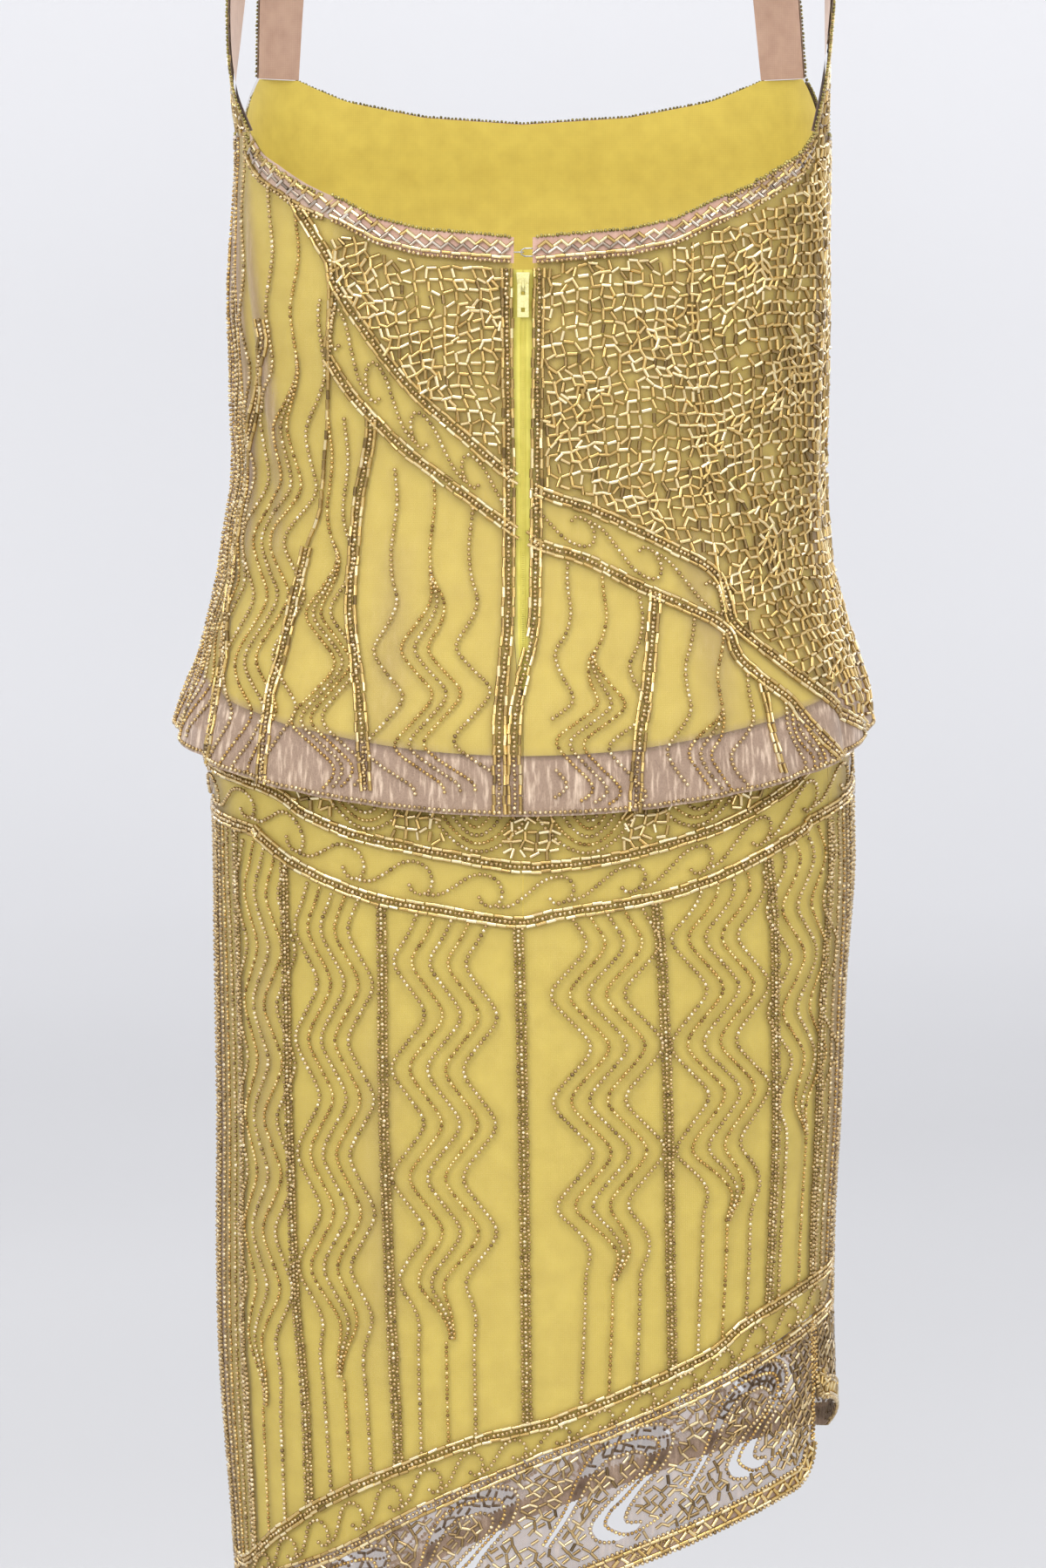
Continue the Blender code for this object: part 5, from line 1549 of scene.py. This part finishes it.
def skirt_keep(spots):
    """Keeps lines between the hip's band and the hem's."""
    top, bottom = (height_on(line, spots) for line in (HIP_LOW_LINE, HEM_TOP_LINE))
    return (spots[:, 1] < top - SKIRT_CLEAR) & (spots[:, 1] > bottom + SKIRT_CLEAR)


def bead_skirt(face):
    piece = face_name("skirt", face)
    for line in (HIP_TOP_LINE, HIP_LOW_LINE, HEM_TOP_LINE):
        rows_of(SKIRT, piece, BORDER, line, face)
    turns = np.linspace(-90, 90, 500)
    hem = np.column_stack([SKIRT.around(turns), lined_hem(turns) + HEM_BORDER])
    rows_of(SKIRT, piece, BORDER, hem, face)
    scrolls(SKIRT, piece, HIP_TOP_LINE, HIP_LOW_LINE, HIP_SCROLLS, face)
    scrolls(SKIRT, piece, HEM_TOP_LINE, hem, HEM_SCROLLS, face)
    for spots in SKIRT_BANDS:
        rows_of(SKIRT, piece, BAND, SKIRT.line(spots), face, keep=skirt_keep)
    for degrees, rows in SIDE_COLUMNS:
        for side in (-1, 1):
            u = SKIRT.around(side * degrees)
            rows_of(SKIRT, piece, rows, curve(((u, -0.56), (u, -1.06))), face, keep=skirt_keep)
    for group in SKIRT_WAVES:
        skirt_waves(group, face)
    bead_swags(piece, face)


def bead_swags(piece, face):
    """Hanging loops of beads with bugles between them, over the hip band."""
    hip_top = HIP_TOP_LINE
    far = lengths(hip_top)
    for n in range(SWAGS):
        for k, kind in enumerate(("champagne", "gold", "champagne", "gold", "champagne", "bronze")):
            share = (n + 0.5 + np.linspace(-0.52, 0.52, 60) * (1 - 0.16 * k)) / SWAGS
            base = along_path(hip_top, far, share * far[-1])
            across = np.linspace(-1, 1, 60)
            rise = SWAG_RISE + SWAG_ROW * k + SWAG_SAG * across**2
            string(SKIRT, piece, kind, base + np.column_stack([np.zeros(60), rise]), face)
    low, high = hip_top.min(0), hip_top.max(0)  # of the box that the lattice fills

    def keep(spots):
        over = spots[:, 1] - height_on(hip_top, spots)
        place = np.interp(spots[:, 0], hip_top[:, 0], far) / far[-1] * SWAGS % 1
        return (over > 0.005) & (over < 0.040) & ((place < 0.22) | (place > 0.78))

    lattice(SKIRT, piece, keep, low, (high[0], high[1] + 0.04), face, cell=0.0060)


# ---- the lace's beadwork ----------------------------------------------------------------------


LACE_LINES = (
    ("gold", FLANK_GOLD[:-1] + GOLD_LINE + ((0.0030, 0.0490), (0.0125, 0.0425))),
    ("close", FLANK_LOWER[:-1] + LOWER_ROW),
    ("close", UPPER_ROW),
)


def bead_lace():
    for name, start, end, slit, depth_at_slit, loops in lace_pieces():
        piece = f"lace_{name}"
        rows = []
        for at in sorted(loops):
            for kind, line in LACE_LINES:
                path = curve(np.array(line) * (1, -1) + (at, -LACE_TOP))
                rows.append(path)
                string(LACE, piece, kind, path, keep=within(start, end))
        bottom = lace_bottom(start, end, slit, depth_at_slit)
        edge = bottom[np.append(np.diff(lengths(bottom)) > 1e-6, True)]
        edge = curve(edge, 0.001)
        for kind, inset in (
            ("champagne", 0.0006), ("bugle", 0.0026), ("bugle", 0.0104), ("champagne", 0.0124),
        ):
            string(LACE, piece, kind, shifted(edge, inset), lift=BAND_LIFT)
        rows.append(shifted(edge, 0.0125))
        zigzag_edge(piece, edge)
        for side, inward in ((start, 1), (end, -1)):
            deep = -lace_depth(side, slit, depth_at_slit)
            heights = np.linspace(-0.001, deep + 0.012, 60)
            column = np.column_stack([np.full(60, side + inward * 0.0016), heights])
            if side == slit:
                rows_of(LACE, piece, (("gold", -0.0011), ("gold", 0.0011)), column)
            rows.append(column)
        every = np.vstack(rows)[::3]

        def keep(spots):
            near = np.full(len(spots), 1.0)
            for k in range(0, len(every), 400):
                reach = np.linalg.norm(spots[:, None] - every[None, k:k + 400], axis=2)
                near = np.minimum(near, reach.min(1))
            good = (near > 0.0030) & (spots[:, 1] < -0.0072)
            for slot_loop in slot_loops(loops):
                good &= ~inside(spots, slot_loop)
            return good & (spots[:, 0] > start + 0.002) & (spots[:, 0] < end - 0.002)

        lattice(
            LACE, piece, keep, (start, -LACE_DEPTH_SLIT + EDGE_BAND), (end, 0.0), cell=0.0051,
            missing=0.08, turn=0.5, kind="fine",
        )


def within(start, end):
    return lambda spots: (spots[:, 0] > start + 0.001) & (spots[:, 0] < end - 0.001)


def zigzag_edge(piece, edge):
    """Bugles that lean to and fro along the edge band."""
    middle = shifted(edge, EDGE_BAND / 2 + 0.0006)
    far = lengths(middle)
    at = evenly(far[-1], ZIGZAG_PITCH)
    spots = along_path(middle, far, at)
    run = unit(along_path(middle, far, at + 0.0005) - spots, TINY)
    runs = unit(run * 0.6 + quarter(run) * (0.8 * to_and_fro(len(at)))[:, None])
    lay(LACE, piece, "bugle", spots, runs, lift=BAND_LIFT)


# ---- stage -----------------------------------------------------------------------------------

FLOOR = -1.46  # below the shoulders, where the wearer's feet would be
COVE = {"radius": 9.5, "bend": 2.0, "height": 9.0}
# The backdrop glows more with distance and height, up to the most, so that it stays even.
GLOW = {"from": 2.2, "far": 0.040, "low": -0.35, "high": 0.075, "most": 0.60}
LIGHTS = (  # name, place, size, watts
    ("key", (-1.9, -3.0, 1.1), 1.2, 38.0),
    ("fill", (2.4, -2.6, 0.5), 1.6, 20.0),
    ("front", (0.1, -4.4, -0.1), 2.0, 9.0),
    ("top", (0.0, -1.3, 2.3), 1.8, 40.0),
    ("back_left", (-2.6, 2.6, 0.6), 2.0, 22.0),
    ("back_right", (2.6, 2.4, 0.4), 2.0, 20.0),
)
SENSOR = 24.0


def make_cove():
    """A pale floor that curves up into a wall all round."""
    flat, bend = COVE["radius"] - COVE["bend"], COVE["bend"]
    angles = [math.pi / 2 * k / 12 for k in range(1, 13)]
    profile = [(0.0, 0.0), (flat, 0.0)]
    profile += [(flat + bend * math.sin(a), bend - bend * math.cos(a)) for a in angles]
    profile.append((COVE["radius"], COVE["height"]))
    turns = 96
    points = [
        (r * math.cos(a), r * math.sin(a), FLOOR + h)
        for r, h in profile
        for a in (2 * math.pi * t / turns for t in range(turns))
    ]
    faces = [
        (n * turns + t, n * turns + after, (n + 1) * turns + after, (n + 1) * turns + t)
        for n in range(len(profile) - 1)
        for t, after in ((t, (t + 1) % turns) for t in range(turns))
    ]
    mesh = bpy.data.meshes.new("studio_floor")
    mesh.from_pydata(points, [], faces)
    mesh.shade_smooth()
    shader = Shader("studio", Roughness=0.9)
    shader.surface.inputs["Emission Color"].default_value = (0.96, 0.965, 1.0, 1)
    place = shader.node("ShaderNodeSeparateXYZ")
    shader.link(shader.where(), place.inputs[0])
    x, y, z = (place.outputs[axis] for axis in "XYZ")
    squares = shader.math("ADD", shader.math("MULTIPLY", x, x), shader.math("MULTIPLY", y, y))
    far = shader.math("MAXIMUM", shader.math("SUBTRACT", shader.math("SQRT", squares), GLOW["from"]), 0.0)
    high = shader.math("MAXIMUM", shader.math("ADD", z, -GLOW["low"]), 0.0)
    glow = shader.math("MULTIPLY_ADD", far, GLOW["far"], shader.math("MULTIPLY", high, GLOW["high"]))
    shader.set("Emission Strength", shader.math("MINIMUM", glow, GLOW["most"]))
    paint = ((0.3, (0.62, 0.62, 0.63)), (0.7, (0.65, 0.65, 0.66)))
    shader.set("Base Color", shader.ramp(shader.noise(0.6, 1), paint))
    mesh.materials.append(shader.material)
    put("studio_floor", mesh)


def make_stage():
    """The cove, soft lights, and the camera."""
    make_cove()
    for name, place, size, watts in LIGHTS:
        data = bpy.data.lights.new(name, "AREA")
        data.shape, data.size, data.energy = "DISK", size, watts
        light = put(name, data)
        light.location = place
        aim = Vector((0, 0, VIEW["target"])) - Vector(place)
        light.rotation_euler = aim.to_track_quat("-Z", "Y").to_euler()
    world = bpy.data.worlds.new("studio")
    world.use_nodes = True
    world.node_tree.nodes["Background"].inputs["Color"].default_value = (0.97, 0.975, 1.0, 1)
    world.node_tree.nodes["Background"].inputs["Strength"].default_value = 0.6
    bpy.context.scene.world = world
    bpy.context.scene.view_settings.view_transform = "Standard"

    data = bpy.data.cameras.new("camera")
    data.sensor_width = SENSOR
    data.lens = SENSOR * VIEW["distance"] / (VIEW["height"] * VIEW["pixel"])
    camera = put("camera", data)
    sin, cos = math.sin(VIEW["down"]), math.cos(VIEW["down"])
    camera.location = (0, -VIEW["distance"] * cos, VIEW["target"] + VIEW["distance"] * sin)
    camera.rotation_euler = (math.pi / 2 - VIEW["down"], 0, 0)
    bpy.context.scene.camera = camera


make_stage()
make_bodice()
make_skirt()
make_straps()
make_neckbands()
make_lace()
make_tapes()
make_coil()
finish_metal()
for face in (1, -1):
    bead_bodice(face)
    bead_skirt(face)
bead_neckline()
bead_straps()
bead_lace()
build_beads()
